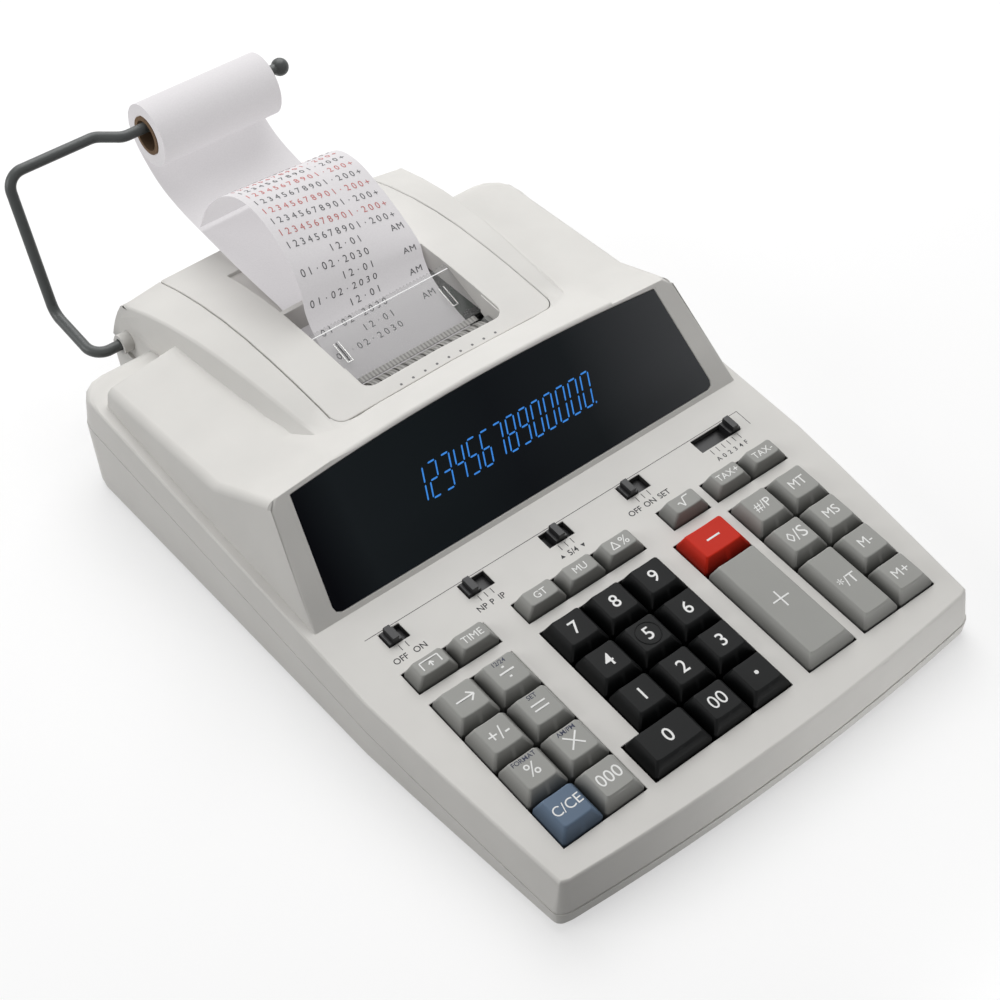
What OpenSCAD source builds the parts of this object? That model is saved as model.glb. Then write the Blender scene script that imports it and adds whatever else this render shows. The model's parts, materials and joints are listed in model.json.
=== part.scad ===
// Desktop printing calculator with a paper roll on a wire arm.
// Sizes in mm, real size, Z up, table at Z 0, keys to the front at -Y.

/* [Case] */
// Width of the case where it is widest
case_w = 215.6; // [214:0.2:218]
// Place of the back wall, measured from the front edge of the flat deck
case_d = 288; // [286:0.5:289]
// Height of the front edge of the deck above the table
deck_front_h = 22.5; // [22.5:0.25:24]
// Slope of the deck in degrees
deck_tilt = 5.12; // [5:0.02:5.3]
// Height of the skirt of the upper shell
skirt_h = 15.2; // [15:0.1:16]
// Thickness of the shell walls
wall = 2.5; // [2.2:0.1:2.8]
// Height of the rubber feet below the base
foot_h = 2; // [1.5:0.25:2]
// Radius of the rubber feet
foot_r = 7; // [5:0.5:9]

/* [Display] */
// Where the sloping display face leaves the deck, from the front edge
face_y = 133.1; // [132.5:0.1:134]
// Slope of the display face in degrees
face_angle = 46.5; // [46:0.1:47]
// Length of the display face at its ends
face_len = 49; // [48:0.25:50]
// Half the width of the display hump at its foot
face_half = 103.6; // [102.4:0.2:104]
// Rise of the arched top edge of the face at the middle
face_arch = 4.6; // [4:0.1:5]
// Thickness of the window
window_t = 1.5; // [1.2:0.1:1.6]
// Width of the indicator tube behind the window
tube_w = 130; // [110:1:150]

/* [Keys] */
// Height of the key tops above the deck
key_h = 5.2; // [4.5:0.1:6]
// Travel of a key
key_travel = 2.5; // [2:0.1:2.8]
// Pitch of the key rows
row_pitch = 17.83; // [17.6:0.01:18]
// Pitch of the number keys across
number_pitch = 19; // [18.8:0.1:19.2]
// Pitch of the side keys across
side_pitch = 18.65; // [18.5:0.05:18.8]
// Depth of the narrow keys in the back row
short_d = 10.5; // [10:0.1:11]
// Gap between a key and its well
key_gap = 0.5; // [0.4:0.05:0.7]

/* [Switches] */
// Distance between two stops of a slide switch
stop_pitch = 2.9; // [2.6:0.1:3]
// Width of a switch knob
knob_w = 5.7; // [5:0.1:6]
// Height of a switch knob above the deck
knob_h = 3.4; // [2.5:0.1:4]

/* [Printer] */
// Width of the paper
paper_w = 57; // [56:0.5:57.5]
// Outer radius of the paper roll
roll_r = 13.4; // [12:0.2:16]
// Outer radius of the card core
core_r = 8.2; // [7.8:0.1:8.6]
// Bore radius of the card core
core_bore = 6.5; // [6:0.1:6.8]
// Radius of the arm's wire
wire_r = 2.25; // [2:0.05:2.4]
// Radius of the platen
platen_r = 8; // [7.6:0.1:8]
// Radius of the type drum
drum_r = 8.5; // [8:0.1:8.5]
// Teeth of the drum gear and the platen gear
gear_teeth = 24; // [24:1:24]
// Half the width of the lift-off cover
cover_half = 52.6; // [52:0.1:53]
// Thickness of the cover
cover_t = 2.2; // [2:0.1:2.3]

/* [Hidden] */
$fn = 48;

// Clearances of fixed pieces in their seats and of moving pieces
fit_gap = 0.15;
run_gap = 0.3;
stem_gap = 0.2;

// Main lines of the case
half_w = case_w / 2;
tilt_k = tan(deck_tilt);
base_z = foot_h;
face_dir = [cos(face_angle), sin(face_angle)];
function deck_z(y) = deck_front_h + y * tilt_k;
function lerp(a, b, t) = a + (b - a) * t;
function rev(v) = [for (i = [len(v) - 1 : -1 : 0]) v[i]];

// Front of the skirt, pivot of the arm, roll axis and the middle of the whole part
front_edge = -2.4;
pivot_y = 302;
pivot_z = 40;
roll_y = 343.3;
roll_z = 96.9;
mid_y = (roll_y + roll_r + front_edge) / 2;
spindle_z = roll_z + core_bore - wire_r - 0.2;

module place() {
  translate([0, -mid_y, 0])
    children();
}

module on_deck() {
  translate([0, 0, deck_front_h])
    rotate([deck_tilt, 0, 0])
      children();
}

// Face frame: X across, Y up the face, Z out of the face
module on_face() {
  translate([0, face_y, deck_z(face_y)])
    rotate([face_angle, 0, 0])
      children();
}

// Ring round the case seen from above, drawn in by r = [front, flank, front corner,
// back]: a bowed front, rounded corners and flanks that widen a little to the back
front_half = 96;
front_bow = 2130;
flank_y = 100;
flank_in = 5.8;
corner_y = 6;
rear_r = 13;
function bow(x) = x * x / front_bow;
function half_ring(r) =
  let (e = front_half - r[1] / 2, f = front_edge + r[0], w = half_w - r[1], c = flank_in + r[2],
       y0 = corner_y + r[1] / 2, end = f + bow(e), mid = [w - c - 0.8, end + 0.8])
  concat(
    [for (i = [0 : 6]) let (x = i * e / 6) [x, f + bow(x)]],
    [for (i = [1 : 3]) let (t = i / 4)
       [e, end] * (1 - t) * (1 - t) + mid * 2 * t * (1 - t) + [w - c, y0] * t * t],
    [for (i = [0 : 4]) let (y = lerp(y0, flank_y, i / 4))
       [w - c * pow((flank_y - y) / (flank_y - y0), 1.15), y]],
    [for (i = [0 : 4])
       [w - rear_r + rear_r * cos(i * 22.5), case_d - r[3] - rear_r + rear_r * sin(i * 22.5)]]);
function ring(r, d) =
  let (right = half_ring(r + [d, d, 0, d]))
  concat(right, [for (p = rev(right)) if (p[0] > 0.01) [-p[0], p[1]]]);
function deck_ring(h, r, d) = [for (p = ring(r, d)) [p[0], p[1], deck_z(p[1]) - h]];

// Solid skin through rings of equal length, lowest first
module loft(rings) {
  n = len(rings[0]);
  m = len(rings);
  polyhedron(
    points = [for (r = rings) for (p = r) p],
    faces = concat(
      [[for (i = [0 : n - 1]) i], [for (i = [n - 1 : -1 : 0]) (m - 1) * n + i]],
      [for (k = [0 : m - 2]) for (i = [0 : n - 1]) let (j = (i + 1) % n)
         [k * n + i, (k + 1) * n + i, k * n + j]],
      [for (k = [0 : m - 2]) for (i = [0 : n - 1]) let (j = (i + 1) % n)
         [k * n + j, (k + 1) * n + i, (k + 1) * n + j]]));
}

// Slab of the deck between two heights measured from the deck plane
module slab(low, high) {
  on_deck()
    translate([-150, -40, low])
      cube([300, 420, high - low]);
}

// Soft edge of the deck as depth and draw-in, softest at the front corners
full = [0, 0, 0, 0];
EDGE = [[3.2, [2.25, 0.62, 1.67, 1.8]], [0.8, [2.7, 0.75, 2, 4.9]], [0, [3.3, 1.3, 2.3, 8]]];
module deck_block(d, low) {
  loft(concat([deck_ring(low, full, d)], [for (r = EDGE) deck_ring(r[0] + d, r[1], d)]));
}

// Skin between two rows of grid points, closed by a bottom grid
function grid_faces(n, m) =
  let (top = n * m)
  concat(
    [for (i = [0 : m - 2]) for (j = [0 : n - 2]) [i * n + j, (i + 1) * n + j, i * n + j + 1]],
    [for (i = [0 : m - 2]) for (j = [0 : n - 2]) [i * n + j + 1, (i + 1) * n + j, (i + 1) * n + j + 1]],
    [for (i = [0 : m - 2]) for (j = [0 : n - 2]) [top + i * n + j, top + i * n + j + 1, top + (i + 1) * n + j]],
    [for (i = [0 : m - 2]) for (j = [0 : n - 2])
       [top + i * n + j + 1, top + (i + 1) * n + j + 1, top + (i + 1) * n + j]],
    [for (j = [0 : n - 2]) [j, j + 1, top + j]],
    [for (j = [0 : n - 2]) [j + 1, top + j + 1, top + j]],
    [for (j = [0 : n - 2]) let (r = (m - 1) * n) [r + j, top + r + j, r + j + 1]],
    [for (j = [0 : n - 2]) let (r = (m - 1) * n) [r + j + 1, top + r + j, top + r + j + 1]],
    [for (i = [0 : m - 2]) [i * n, top + i * n, (i + 1) * n]],
    [for (i = [0 : m - 2]) [(i + 1) * n, top + i * n, top + (i + 1) * n]],
    [for (i = [0 : m - 2]) let (r = n - 1) [i * n + r, (i + 1) * n + r, top + i * n + r]],
    [for (i = [0 : m - 2]) let (r = n - 1) [(i + 1) * n + r, top + (i + 1) * n + r, top + i * n + r]]);

// Display hump: face, band behind its arched edge and the plateau, inset by d.
// Each row holds half width, Y, Z and how far it is arched along Y and Z.
draft = 0.208;
crest_y = face_y + face_len * face_dir[0];
crest_z = deck_z(face_y) + face_len * face_dir[1];
crest_half = face_half - draft * face_len * face_dir[1];
crease_y = crest_y + 31;
crease_z = crest_z - 13.2;
plateau_y = crease_y + 70.7;
plateau_z = crease_z - 2.8;
back_arch = 8.6;
stations = [-1, -0.7, -0.35, 0, 0.35, 0.7, 1];
module hump(d, sink) {
  rows = [
    [face_half + draft * 4 - d, face_y + 1.38 * d - 6 * face_dir[0], deck_z(face_y) - 6 * face_dir[1], 0, 0],
    [crest_half - d, crest_y + 0.26 * d, crest_z - 1.18 * d, face_arch * face_dir[0], face_arch * face_dir[1]],
    [crest_half + draft * 13.2 + 1 - d, crease_y, crease_z - 1.03 * d, 0, back_arch],
    [crest_half + draft * 16 + 1.4 - d, plateau_y - d, plateau_z - d, 0, back_arch]];
  top = [for (r = rows) for (t = stations) let (k = 1 - t * t) [t * r[0], r[1] + r[3] * k, r[2] + r[4] * k]];
  low = [for (r = rows) for (t = stations)
         let (k = 1 - t * t, z = deck_z(r[1]) - sink)
         [t * (r[0] + draft * max(0, r[2] - z)), r[1] + r[3] * k, min(z, r[2] - 1)]];
  polyhedron(points = concat(top, low), faces = grid_faces(len(stations), len(rows)));
}

// Printer housing: a long low roof over the printer with sloping flanks
roof_y = 235;
roof_z = deck_z(face_y) + 35.8;
house_front = 181;
house_rear = 305.5;
house_rows = 8;
function roof(y) = roof_z - pow(y - roof_y, 2) / (y > roof_y ? 416 : 928);
module housing(d, sink) {
  rows = [for (i = [0 : house_rows])
          let (s = i / house_rows, y = lerp(house_front, house_rear, s), h = roof(y) - d)
          [[lerp(71, 72.2, s) - d, lerp(56, 50, s) - d / 2], [lerp(60, 70.3, s) - d, h - 2.7],
           [cover_half, h], [0, h + 1.2], i == house_rows ? y - d : y]];
  function section(r) = [[-r[0][0], r[0][1]], [-r[1][0], r[1][1]], [-r[2][0], r[2][1]], r[3],
                         r[2], r[1], r[0]];
  top = [for (r = rows) for (p = section(r)) [p[0], r[4], p[1]]];
  low = [for (r = rows) for (p = section(r)) [p[0], r[4], min(deck_z(r[4]) - sink, p[1] - 1)]];
  polyhedron(points = concat(top, low), faces = grid_faces(7, house_rows + 1));
}

// Swelling back of the printer housing, from below the deck to its roof
swell_r = 50;
swell_y = 265;
swell_z = 27;
swell_top = 55;
module swell(d, low) {
  intersection() {
    translate([0, 330, 0])
      rotate([90, 0, 0])
        linear_extrude(height = 72)
          polygon([[-76 + d, low], [76 - d, low], [70.6 - d, swell_top - d], [-70.6 + d, swell_top - d]]);
    translate([-90, swell_y, swell_z])
      rotate([0, 90, 0])
        cylinder(h = 180, r = swell_r - d, $fn = 96);
  }
}

// Plan of the lift-off cover, grown by g, open to the back
cover_front = 184.5;
cover_corner = 5;
cover_low = swell_top + 0.2;
module cover_plan(g) {
  w = cover_half + g;
  f = cover_front - g;
  translate([-w, f + cover_corner])
    square([2 * w, 340 - f - cover_corner]);
  translate([-w + cover_corner, f])
    square([2 * w - 2 * cover_corner, 60]);
  for (s = [-1, 1])
    translate([s * (w - cover_corner), f + cover_corner])
      circle(r = cover_corner);
}

// Rows and columns of the keys, measured on the deck
row_y = [for (i = [0 : 3]) 14.8 + row_pitch * (i + 0.5)];
short_y = row_y[3] + row_pitch / 2 + 5.3 + short_d / 2;
side_x = -71 - side_pitch;
number_x = -11.2 - 1.5 * number_pitch;
op_x = 25.6;
op_w = 24.2;
mem_x = 72.6 - side_pitch;
zero_w = number_pitch + 8.7;
well_end = row_y[3] + row_pitch / 2;
well_front = row_y[0] - row_pitch / 2;
function side_col(i) = side_x + side_pitch * (i + 0.5);
function num_col(i) = number_x + number_pitch * (i + 0.5);
function mem_col(i) = mem_x + side_pitch * (i + 0.5);

// Name, centre across, centre along the deck, width, depth, colour
KEYS = [
  ["key_feed", side_col(0), short_y, side_pitch, short_d, 1],
  ["key_time", side_col(1), short_y, side_pitch, short_d, 1],
  ["key_grand_total", num_col(0), short_y, number_pitch, short_d, 1],
  ["key_markup", num_col(1), short_y, number_pitch, short_d, 1],
  ["key_change", num_col(2), short_y, number_pitch, short_d, 1],
  ["key_root", 40.8, short_y, number_pitch, short_d, 1],
  ["key_tax_plus", mem_col(0), short_y, side_pitch, short_d, 1],
  ["key_tax_minus", mem_col(1), short_y, side_pitch, short_d, 1],
  ["key_back", side_col(0), row_y[3], side_pitch, row_pitch, 1],
  ["key_divide", side_col(1), row_y[3], side_pitch, row_pitch, 1],
  ["key_sign", side_col(0), row_y[2], side_pitch, row_pitch, 1],
  ["key_equals", side_col(1), row_y[2], side_pitch, row_pitch, 1],
  ["key_percent", side_col(0), row_y[1], side_pitch, row_pitch, 1],
  ["key_multiply", side_col(1), row_y[1], side_pitch, row_pitch, 1],
  ["key_clear", side_col(0), row_y[0], side_pitch, row_pitch, 2],
  ["key_000", side_col(1), row_y[0], side_pitch, row_pitch, 1],
  ["key_7", num_col(0), row_y[3], number_pitch, row_pitch, 0],
  ["key_8", num_col(1), row_y[3], number_pitch, row_pitch, 0],
  ["key_9", num_col(2), row_y[3], number_pitch, row_pitch, 0],
  ["key_4", num_col(0), row_y[2], number_pitch, row_pitch, 0],
  ["key_5", num_col(1), row_y[2], number_pitch, row_pitch, 0],
  ["key_6", num_col(2), row_y[2], number_pitch, row_pitch, 0],
  ["key_1", num_col(0), row_y[1], number_pitch, row_pitch, 0],
  ["key_2", num_col(1), row_y[1], number_pitch, row_pitch, 0],
  ["key_3", num_col(2), row_y[1], number_pitch, row_pitch, 0],
  ["key_0", num_col(0) + (number_pitch - zero_w) / 2, row_y[0], zero_w, row_pitch, 0],
  ["key_00", num_col(1), row_y[0], number_pitch, row_pitch, 0],
  ["key_point", num_col(2), row_y[0], number_pitch, row_pitch, 0],
  ["key_minus", op_x + op_w / 2, row_y[3], op_w, row_pitch, 3],
  ["key_plus", op_x + op_w / 2, row_y[1], op_w, 3 * row_pitch, 1],
  ["key_hash", mem_col(0), row_y[3], side_pitch, row_pitch, 1],
  ["key_diamond", mem_col(0), row_y[2], side_pitch, row_pitch, 1],
  ["key_total", mem_col(0), (row_y[0] + row_y[1]) / 2, side_pitch, 2 * row_pitch, 1],
  ["key_mt", mem_col(1), row_y[3], side_pitch, row_pitch, 1],
  ["key_ms", mem_col(1), row_y[2], side_pitch, row_pitch, 1],
  ["key_m_minus", mem_col(1), row_y[1], side_pitch, row_pitch, 1],
  ["key_m_plus", mem_col(1), row_y[0], side_pitch, row_pitch, 1]
];
key_colors = [[0.08, 0.08, 0.09], [0.45, 0.46, 0.46], [0.35, 0.42, 0.50], [0.75, 0.22, 0.16]];

// Wells of the key groups: left, front, width, depth
WELLS = [
  [side_x, well_front, 2 * side_pitch, 4 * row_pitch],
  [number_x, well_front, 3 * number_pitch, 4 * row_pitch],
  [number_x + number_pitch - zero_w, well_front, zero_w, row_pitch],
  [op_x, well_front, op_w, 4 * row_pitch],
  [mem_x, well_front, 2 * side_pitch, 4 * row_pitch],
  [side_x, short_y - short_d / 2, 2 * side_pitch, short_d],
  [number_x, short_y - short_d / 2, 3 * number_pitch, short_d],
  [40.8 - number_pitch / 2, short_y - short_d / 2, number_pitch, short_d],
  [mem_x, short_y - short_d / 2, 2 * side_pitch, short_d]
];
well_floor = -7;
floor_t = 1.5;
stem_w = 5;
stem_low = -9.6;
cap_low = well_floor + key_travel + 0.6;

// Slide switches: name, slot centre, number of stops, stop at rest
SWITCHES = [
  ["switch_power", 26.6 - half_w, 2, 0],
  ["switch_mode", -43.7, 3, 0],
  ["switch_rounding", -5.3, 3, 1],
  ["switch_total", 33.2, 3, 0],
  ["switch_decimal", half_w - 31, 6, 5]
];
switch_y = 116.7;
slot_d = 6.9;
function slot_len(s) = knob_w + 2 * run_gap + stop_pitch * (s[2] - 1);
function knob_x(s) = s[1] + stop_pitch * (s[3] - (s[2] - 1) / 2);

// Outline of the window on the face, shrunk by g, with its arched top
window_low = 2.4;
module window_plan(g) {
  w = face_half - 10.8 - g;
  t = w - 5.6;
  top = face_len - 1.4 - g;
  low = window_low + g;
  polygon(concat(
    [[-w + 0.35, low + 3], [-w + 0.95, low + 0.9], [-w + 3, low],
     [w - 3, low], [w - 0.95, low + 0.9], [w - 0.35, low + 3]],
    [for (i = [8 : -1 : -8]) let (x = i / 8) [x * t, top + (face_arch - 0.7) * (1 - x * x)]]));
}

// Paper opening, its rim and the inlet tray behind it
open_half = 33.5;
open_front = 192.6;
open_rear = 244.8;
inlet_y = 247.6;
tray_y = 254.2;
tray_z = roof_z - 7;
tray_rear = 284;
module opening_plan() {
  r = 5;
  translate([-open_half, open_front + r])
    square([2 * open_half, open_rear - open_front - r]);
  translate([-open_half + r, open_front])
    square([2 * open_half - 2 * r, 20]);
  for (s = [-1, 1])
    translate([s * (open_half - r), open_front + r])
      circle(r = r);
}

// Shafts of the printer, as Y and Z
platen_at = [210.5, roof_z - 23.2];
nip = drum_r + platen_r + 0.9;
drum_at = platen_at + nip * [cos(150), sin(150)];
ink_r = 5;
ink_at = drum_at + (drum_r + ink_r + run_gap) * [cos(185), sin(185)];
gear_m = nip / gear_teeth;
pinion_teeth = gear_teeth / 2;
pinion_at = drum_at + gear_m * (gear_teeth + pinion_teeth) / 2 * [cos(-135), sin(-135)];
shaft_r = 1.5;
frame_in = 30.6;
frame_t = 2;
gear_x = frame_in + frame_t + 1;
gear_t = 4;
frame_low = 22;

// Shaft along X through a point of the YZ plane
module along_x(at, x0, x1, r) {
  translate([x0, at[0], at[1]])
    rotate([0, 90, 0])
      cylinder(h = x1 - x0, r = r);
}

// Gear along X with straight sided teeth; a tooth points at the given angle
module gear(at, teeth, angle) {
  pr = gear_m * teeth / 2;
  tip = pr + gear_m * 0.8;
  root = pr - gear_m * 1.05;
  a = 360 / teeth;
  pts = [for (i = [0 : teeth - 1]) for (q = [[root, -0.34], [tip, -0.11], [tip, 0.11], [root, 0.34]])
         q[0] * [cos(angle + a * (i + q[1])), sin(angle + a * (i + q[1]))]];
  translate([gear_x, at[0], at[1]])
    rotate([90, 0, 90])
      linear_extrude(height = gear_t)
        polygon(pts);
}

// Route of the paper as Y and Z, from the roll over the cover into the inlet,
// round the platen and out through the opening in one loose curl
paper_t = 0.3;
wrap_r = platen_r + run_gap + paper_t / 2;
leave_r = roll_r + run_gap + paper_t / 2;
top_z = roof_z;
route = concat(
  [[roll_y, roll_z] + leave_r * [cos(-40), sin(-40)], [346, 80.3], [336, 74.2], [322, 70.4], [304, 68],
   [285, top_z - 4.2], [268, top_z - 5.4], [255.5, top_z - 6.1], [251.9, top_z - 8.2],
   [251.3, top_z - 13], [249.8, top_z - 16.8], [244.5, top_z - 20], [236, top_z - 22.9], [223.4, top_z - 27.4]],
  [for (i = [0 : 7]) let (a = -70 - i * 184.7 / 7) platen_at + wrap_r * [cos(a), sin(a)]],
  [[216, top_z - 12.9], [225.6, top_z - 9.6], [232.6, top_z - 5], [237.4, top_z + 2.6],
   [239.4, top_z + 9.8], [247, top_z + 17.8], [261, top_z + 25.8], [276.5, top_z + 29.1],
   [290.5, top_z + 24.8], [303, top_z + 14.6], [310, top_z + 4]]);
function spline(p, i, t) =
  let (n = len(p) - 1, a = p[max(0, i - 1)], b = p[i], c = p[i + 1], d = p[min(n, i + 2)])
  0.5 * (2 * b + (c - a) * t + (2 * a - 5 * b + 4 * c - d) * t * t + (3 * b - 3 * c + d - a) * t * t * t);
smooth = concat([for (i = [0 : len(route) - 2]) for (t = [0, 0.34, 0.67]) spline(route, i, t)],
                [route[len(route) - 1]]);
function dir_at(p, i) = let (v = p[min(len(p) - 1, i + 1)] - p[max(0, i - 1)]) v / norm(v);
function strip(p, t) = concat(
  [for (i = [0 : len(p) - 1]) let (v = dir_at(p, i)) p[i] + [-v[1], v[0]] * t / 2],
  [for (i = [len(p) - 1 : -1 : 0]) let (v = dir_at(p, i)) p[i] - [-v[1], v[0]] * t / 2]);

// Base shell: below the split, drawn in towards the base, with a heel under the printer
BASE = [0.3, 0.4, 0.2, 3];
heel_half = 74;
heel_y = 250;
heel_rear = 312;
module base_block(d) {
  intersection() {
    union() {
      loft([[for (p = ring(BASE, d)) [p[0], p[1], base_z + d]],
            deck_ring(skirt_h, full, d), deck_ring(-6, full, d)]);
      translate([-heel_half + d, 0, 0])
        rotate([90, 0, 90])
          linear_extrude(height = 2 * heel_half - 2 * d)
            polygon([[heel_y, base_z + d], [heel_rear - 6 - d, base_z + d], [heel_rear - d, 32],
                     [heel_rear - d, 60], [heel_y, 60]]);
    }
    slab(-60, d > 0 ? 5 : -skirt_h);
  }
}

board_half = 92;
board_front = 12;
board_d = 96;
board_low = -15;
board_top = -13.4;
mat_top = -12.2;
posts = [[-84, 20], [84, 20], [-84, 100], [84, 100], [0, 92], [21.5, 20]];
frame_posts = [[-26, 184], [26, 184], [-26, 222], [26, 222]];
screws = [[-96, 104], [96, 104], [-96, 250], [96, 250], [0, 128]];

module lower_case() color([0.72, 0.71, 0.69]) place() difference() {
  union() {
    difference() {
      base_block(0);
      base_block(wall);
    }
    intersection() {
      union() {
        for (p = posts)
          on_deck()
            translate([p[0], p[1], -60])
              cylinder(h = 60 + board_low, r = 3);
        for (p = frame_posts)
          translate([p[0], p[1], 0])
            cylinder(h = frame_low, r = 4);
        for (p = screws)
          on_deck()
            translate([p[0], p[1], -60])
              cylinder(h = 60 - skirt_h, r = 5);
      }
      translate([-120, 0, base_z + wall / 2])
        cube([240, 320, 60]);
    }
  }
  for (p = screws)
    translate([p[0], p[1], 0])
      cylinder(h = 12 + p[1] * 0.05, r = 2.2);
}

boss_x = 76.4;
boss_r = 4.2;
module upper_case() color([0.85, 0.84, 0.81]) place() difference() {
  union() {
    difference() {
      union() {
        intersection() {
          union() {
            deck_block(0, skirt_h + 3);
            swell(0, 0);
          }
          slab(-skirt_h, 60);
        }
        hump(0, 1.5);
        housing(0, 1.5);
      }
      union() {
        deck_block(wall, skirt_h + 5);
        hump(wall, wall + 3);
        housing(wall, wall + 3);
        swell(wall, -10);
      }
    }
    intersection() {
      deck_block(wall / 2, skirt_h);
      on_deck()
        for (w = WELLS)
          translate([w[0] - floor_t, w[1] - floor_t, well_floor - floor_t])
            cube([w[2] + 2 * floor_t, w[3] + 2 * floor_t, -well_floor + floor_t - 1]);
    }
    intersection() {
      difference() {
        housing(cover_t + 0.2, 3);
        housing(cover_t + 2.4, 8);
      }
      for (s = [-1, 1])
        translate([s * (cover_half + 0.5) - 4, cover_front + 78, swell_top + 1])
          cube([8, 38, 40]);
    }
    for (s = [-1, 1])
      along_x([pivot_y, pivot_z], s > 0 ? 67 : -boss_x, s > 0 ? boss_x : -67, boss_r);
  }
  translate([0, 0, swell_top])
    linear_extrude(height = 60)
      cover_plan(0);
  on_deck() {
    for (w = WELLS)
      translate([w[0], w[1], well_floor])
        cube([w[2], w[3], 20]);
    for (k = KEYS)
      translate([k[1] - stem_w / 2 - stem_gap, k[2] - stem_w / 2 - stem_gap, -20])
        cube([stem_w + 2 * stem_gap, stem_w + 2 * stem_gap, 20]);
    for (s = SWITCHES)
      translate([s[1] - slot_len(s) / 2, switch_y - slot_d / 2, -10])
        cube([slot_len(s), slot_d, 20]);
  }
  on_face() {
    translate([0, 0, -window_t - 0.05])
      linear_extrude(height = 10)
        window_plan(-fit_gap);
    translate([0, 0, -10])
      linear_extrude(height = 20)
        window_plan(3);
  }
  along_x([pivot_y, pivot_z], -90, 90, wire_r + run_gap);
}

module display_window() color([0.04, 0.05, 0.06]) place() on_face()
  translate([0, 0, -window_t])
    linear_extrude(height = window_t)
      window_plan(0);

tube_low = 14;
tube_d = 27;
tube_t = 6;
module display_tube() color([0.15, 0.18, 0.20]) place() on_face()
  translate([-tube_w / 2, tube_low, -window_t - tube_t - 0.2])
    cube([tube_w, tube_d, tube_t]);

module printer_cover() color([0.86, 0.85, 0.82]) place() union() {
  difference() {
    intersection() {
      housing(0, 3);
      translate([0, 0, cover_low])
        linear_extrude(height = 60)
          cover_plan(-0.2);
    }
    housing(cover_t, 8);
    linear_extrude(height = 120)
      opening_plan();
    translate([-open_half, inlet_y, 0])
      cube([2 * open_half, tray_rear - inlet_y, 120]);
  }
  difference() {
    intersection() {
      housing(0, 3);
      translate([-open_half - 1.8, open_rear, tray_z - 2])
        cube([2 * open_half + 3.6, tray_rear + 3 - open_rear, 40]);
    }
    translate([-open_half, inlet_y, tray_z])
      cube([2 * open_half, tray_rear - inlet_y, 40]);
    translate([-open_half, inlet_y, 0])
      cube([2 * open_half, tray_y - inlet_y, 100]);
  }
  translate([-open_half - 1.8, open_rear, tray_z - 4.5])
    cube([2 * open_half + 3.6, inlet_y - open_rear, 4]);
  for (s = [-1, 1])
    intersection() {
      housing(0, 3);
      translate([s * (open_half + 0.9) - 0.9, open_front + 14, tray_z - 3])
        cube([1.8, open_rear - open_front - 12, 40]);
    }
}

// Clear tear bar: a sloping plate with a saw edge along its top
bar_top = [230, roof_z - 1.4];
bar_low = [207, roof_z - 10.6];
saw = 0.6;
steps = 80;
module tear_bar() color([0.80, 0.84, 0.86]) place() {
  run = bar_top - bar_low;
  translate([0, bar_low[0], bar_low[1]])
    rotate([atan2(run[1], run[0]), 0, 0])
      linear_extrude(height = 1.2)
        polygon(concat([[-open_half + 0.1, 0], [open_half - 0.1, 0], [open_half - 0.1, norm(run) - saw]],
          [for (i = [steps : -1 : 0]) [(open_half - 0.1) * (2 * i / steps - 1), norm(run) - (i % 2 == 0 ? saw : 0)]],
          [[-open_half + 0.1, norm(run) - saw - 0.01]]));
}

// Wire arm: an axle through the housing, a run to the back, an upright that leans
// back and the spindle that carries the roll, in one bent wire with a ball tip. The
// bends are a hair thicker than the straights, which reach a little way into them.
arm_x = -88;
bend_r = 7;
run_a = 6.3;
run_len = 30;
lean_a = 71.8;
spindle_end = 37.5;
joggle_x = -50;
joggle_a = 40;
joggle_r = 6;
lap = 0.3;
bend_wire = wire_r + 0.03;
module bend(r, start, angle) {
  rotate([0, 0, start])
    rotate_extrude(angle = angle)
      translate([r, 0])
        circle(r = bend_wire);
}
module straight(length) {
  translate([0, 0, -lap])
    cylinder(h = length + 2 * lap, r = wire_r);
}
module at_yz(x, p, a) {
  translate([x, p[0], p[1]])
    rotate([a, 0, 0])
      children();
}
module paper_arm() color([0.20, 0.22, 0.21]) place() union() {
  run_dir = [cos(run_a), sin(run_a)];
  lean_dir = [cos(lean_a), sin(lean_a)];
  pivot = [pivot_y, pivot_z];
  turn = lean_a - run_a;
  cut = bend_r * tan(turn / 2);
  foot = pivot + run_len * run_dir;
  rise = (spindle_z - foot[1]) / lean_dir[1];
  head = foot + rise * lean_dir;
  shift = head[0] - roll_y;
  slant = (shift - 2 * joggle_r * (1 - cos(joggle_a))) / sin(joggle_a);
  joggle_end = joggle_x + 2 * joggle_r * sin(joggle_a) + slant * cos(joggle_a);
  along_x(pivot, arm_x + bend_r - lap, 78, wire_r);
  at_yz(arm_x + bend_r, pivot + bend_r * run_dir, run_a)
    bend(bend_r, 180, 90);
  at_yz(arm_x, pivot + bend_r * run_dir, run_a - 90)
    straight(run_len - bend_r - cut);
  translate([arm_x, foot[0] - cut * run_dir[0] - bend_r * run_dir[1],
             foot[1] - cut * run_dir[1] + bend_r * run_dir[0]])
    rotate([90, 0, 90])
      bend(bend_r, run_a - 90, turn);
  at_yz(arm_x, foot + cut * lean_dir, lean_a - 90)
    straight(rise - cut - bend_r);
  at_yz(arm_x + bend_r, head - bend_r * lean_dir, lean_a)
    bend(bend_r, 90, 90);
  along_x(head, arm_x + bend_r - lap, joggle_x + lap, wire_r);
  translate([joggle_x, head[0] - joggle_r, spindle_z])
    bend(joggle_r, 90 - joggle_a, joggle_a);
  translate([joggle_x + joggle_r * sin(joggle_a), head[0] - joggle_r * (1 - cos(joggle_a)), spindle_z])
    rotate([0, 90, -joggle_a])
      straight(slant);
  translate([joggle_end, roll_y + joggle_r, spindle_z])
    bend(joggle_r, 270 - joggle_a, joggle_a);
  along_x([roll_y, spindle_z], joggle_end - lap, spindle_end, wire_r);
  translate([spindle_end, roll_y, spindle_z])
    sphere(r = 3.8);
}

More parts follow.
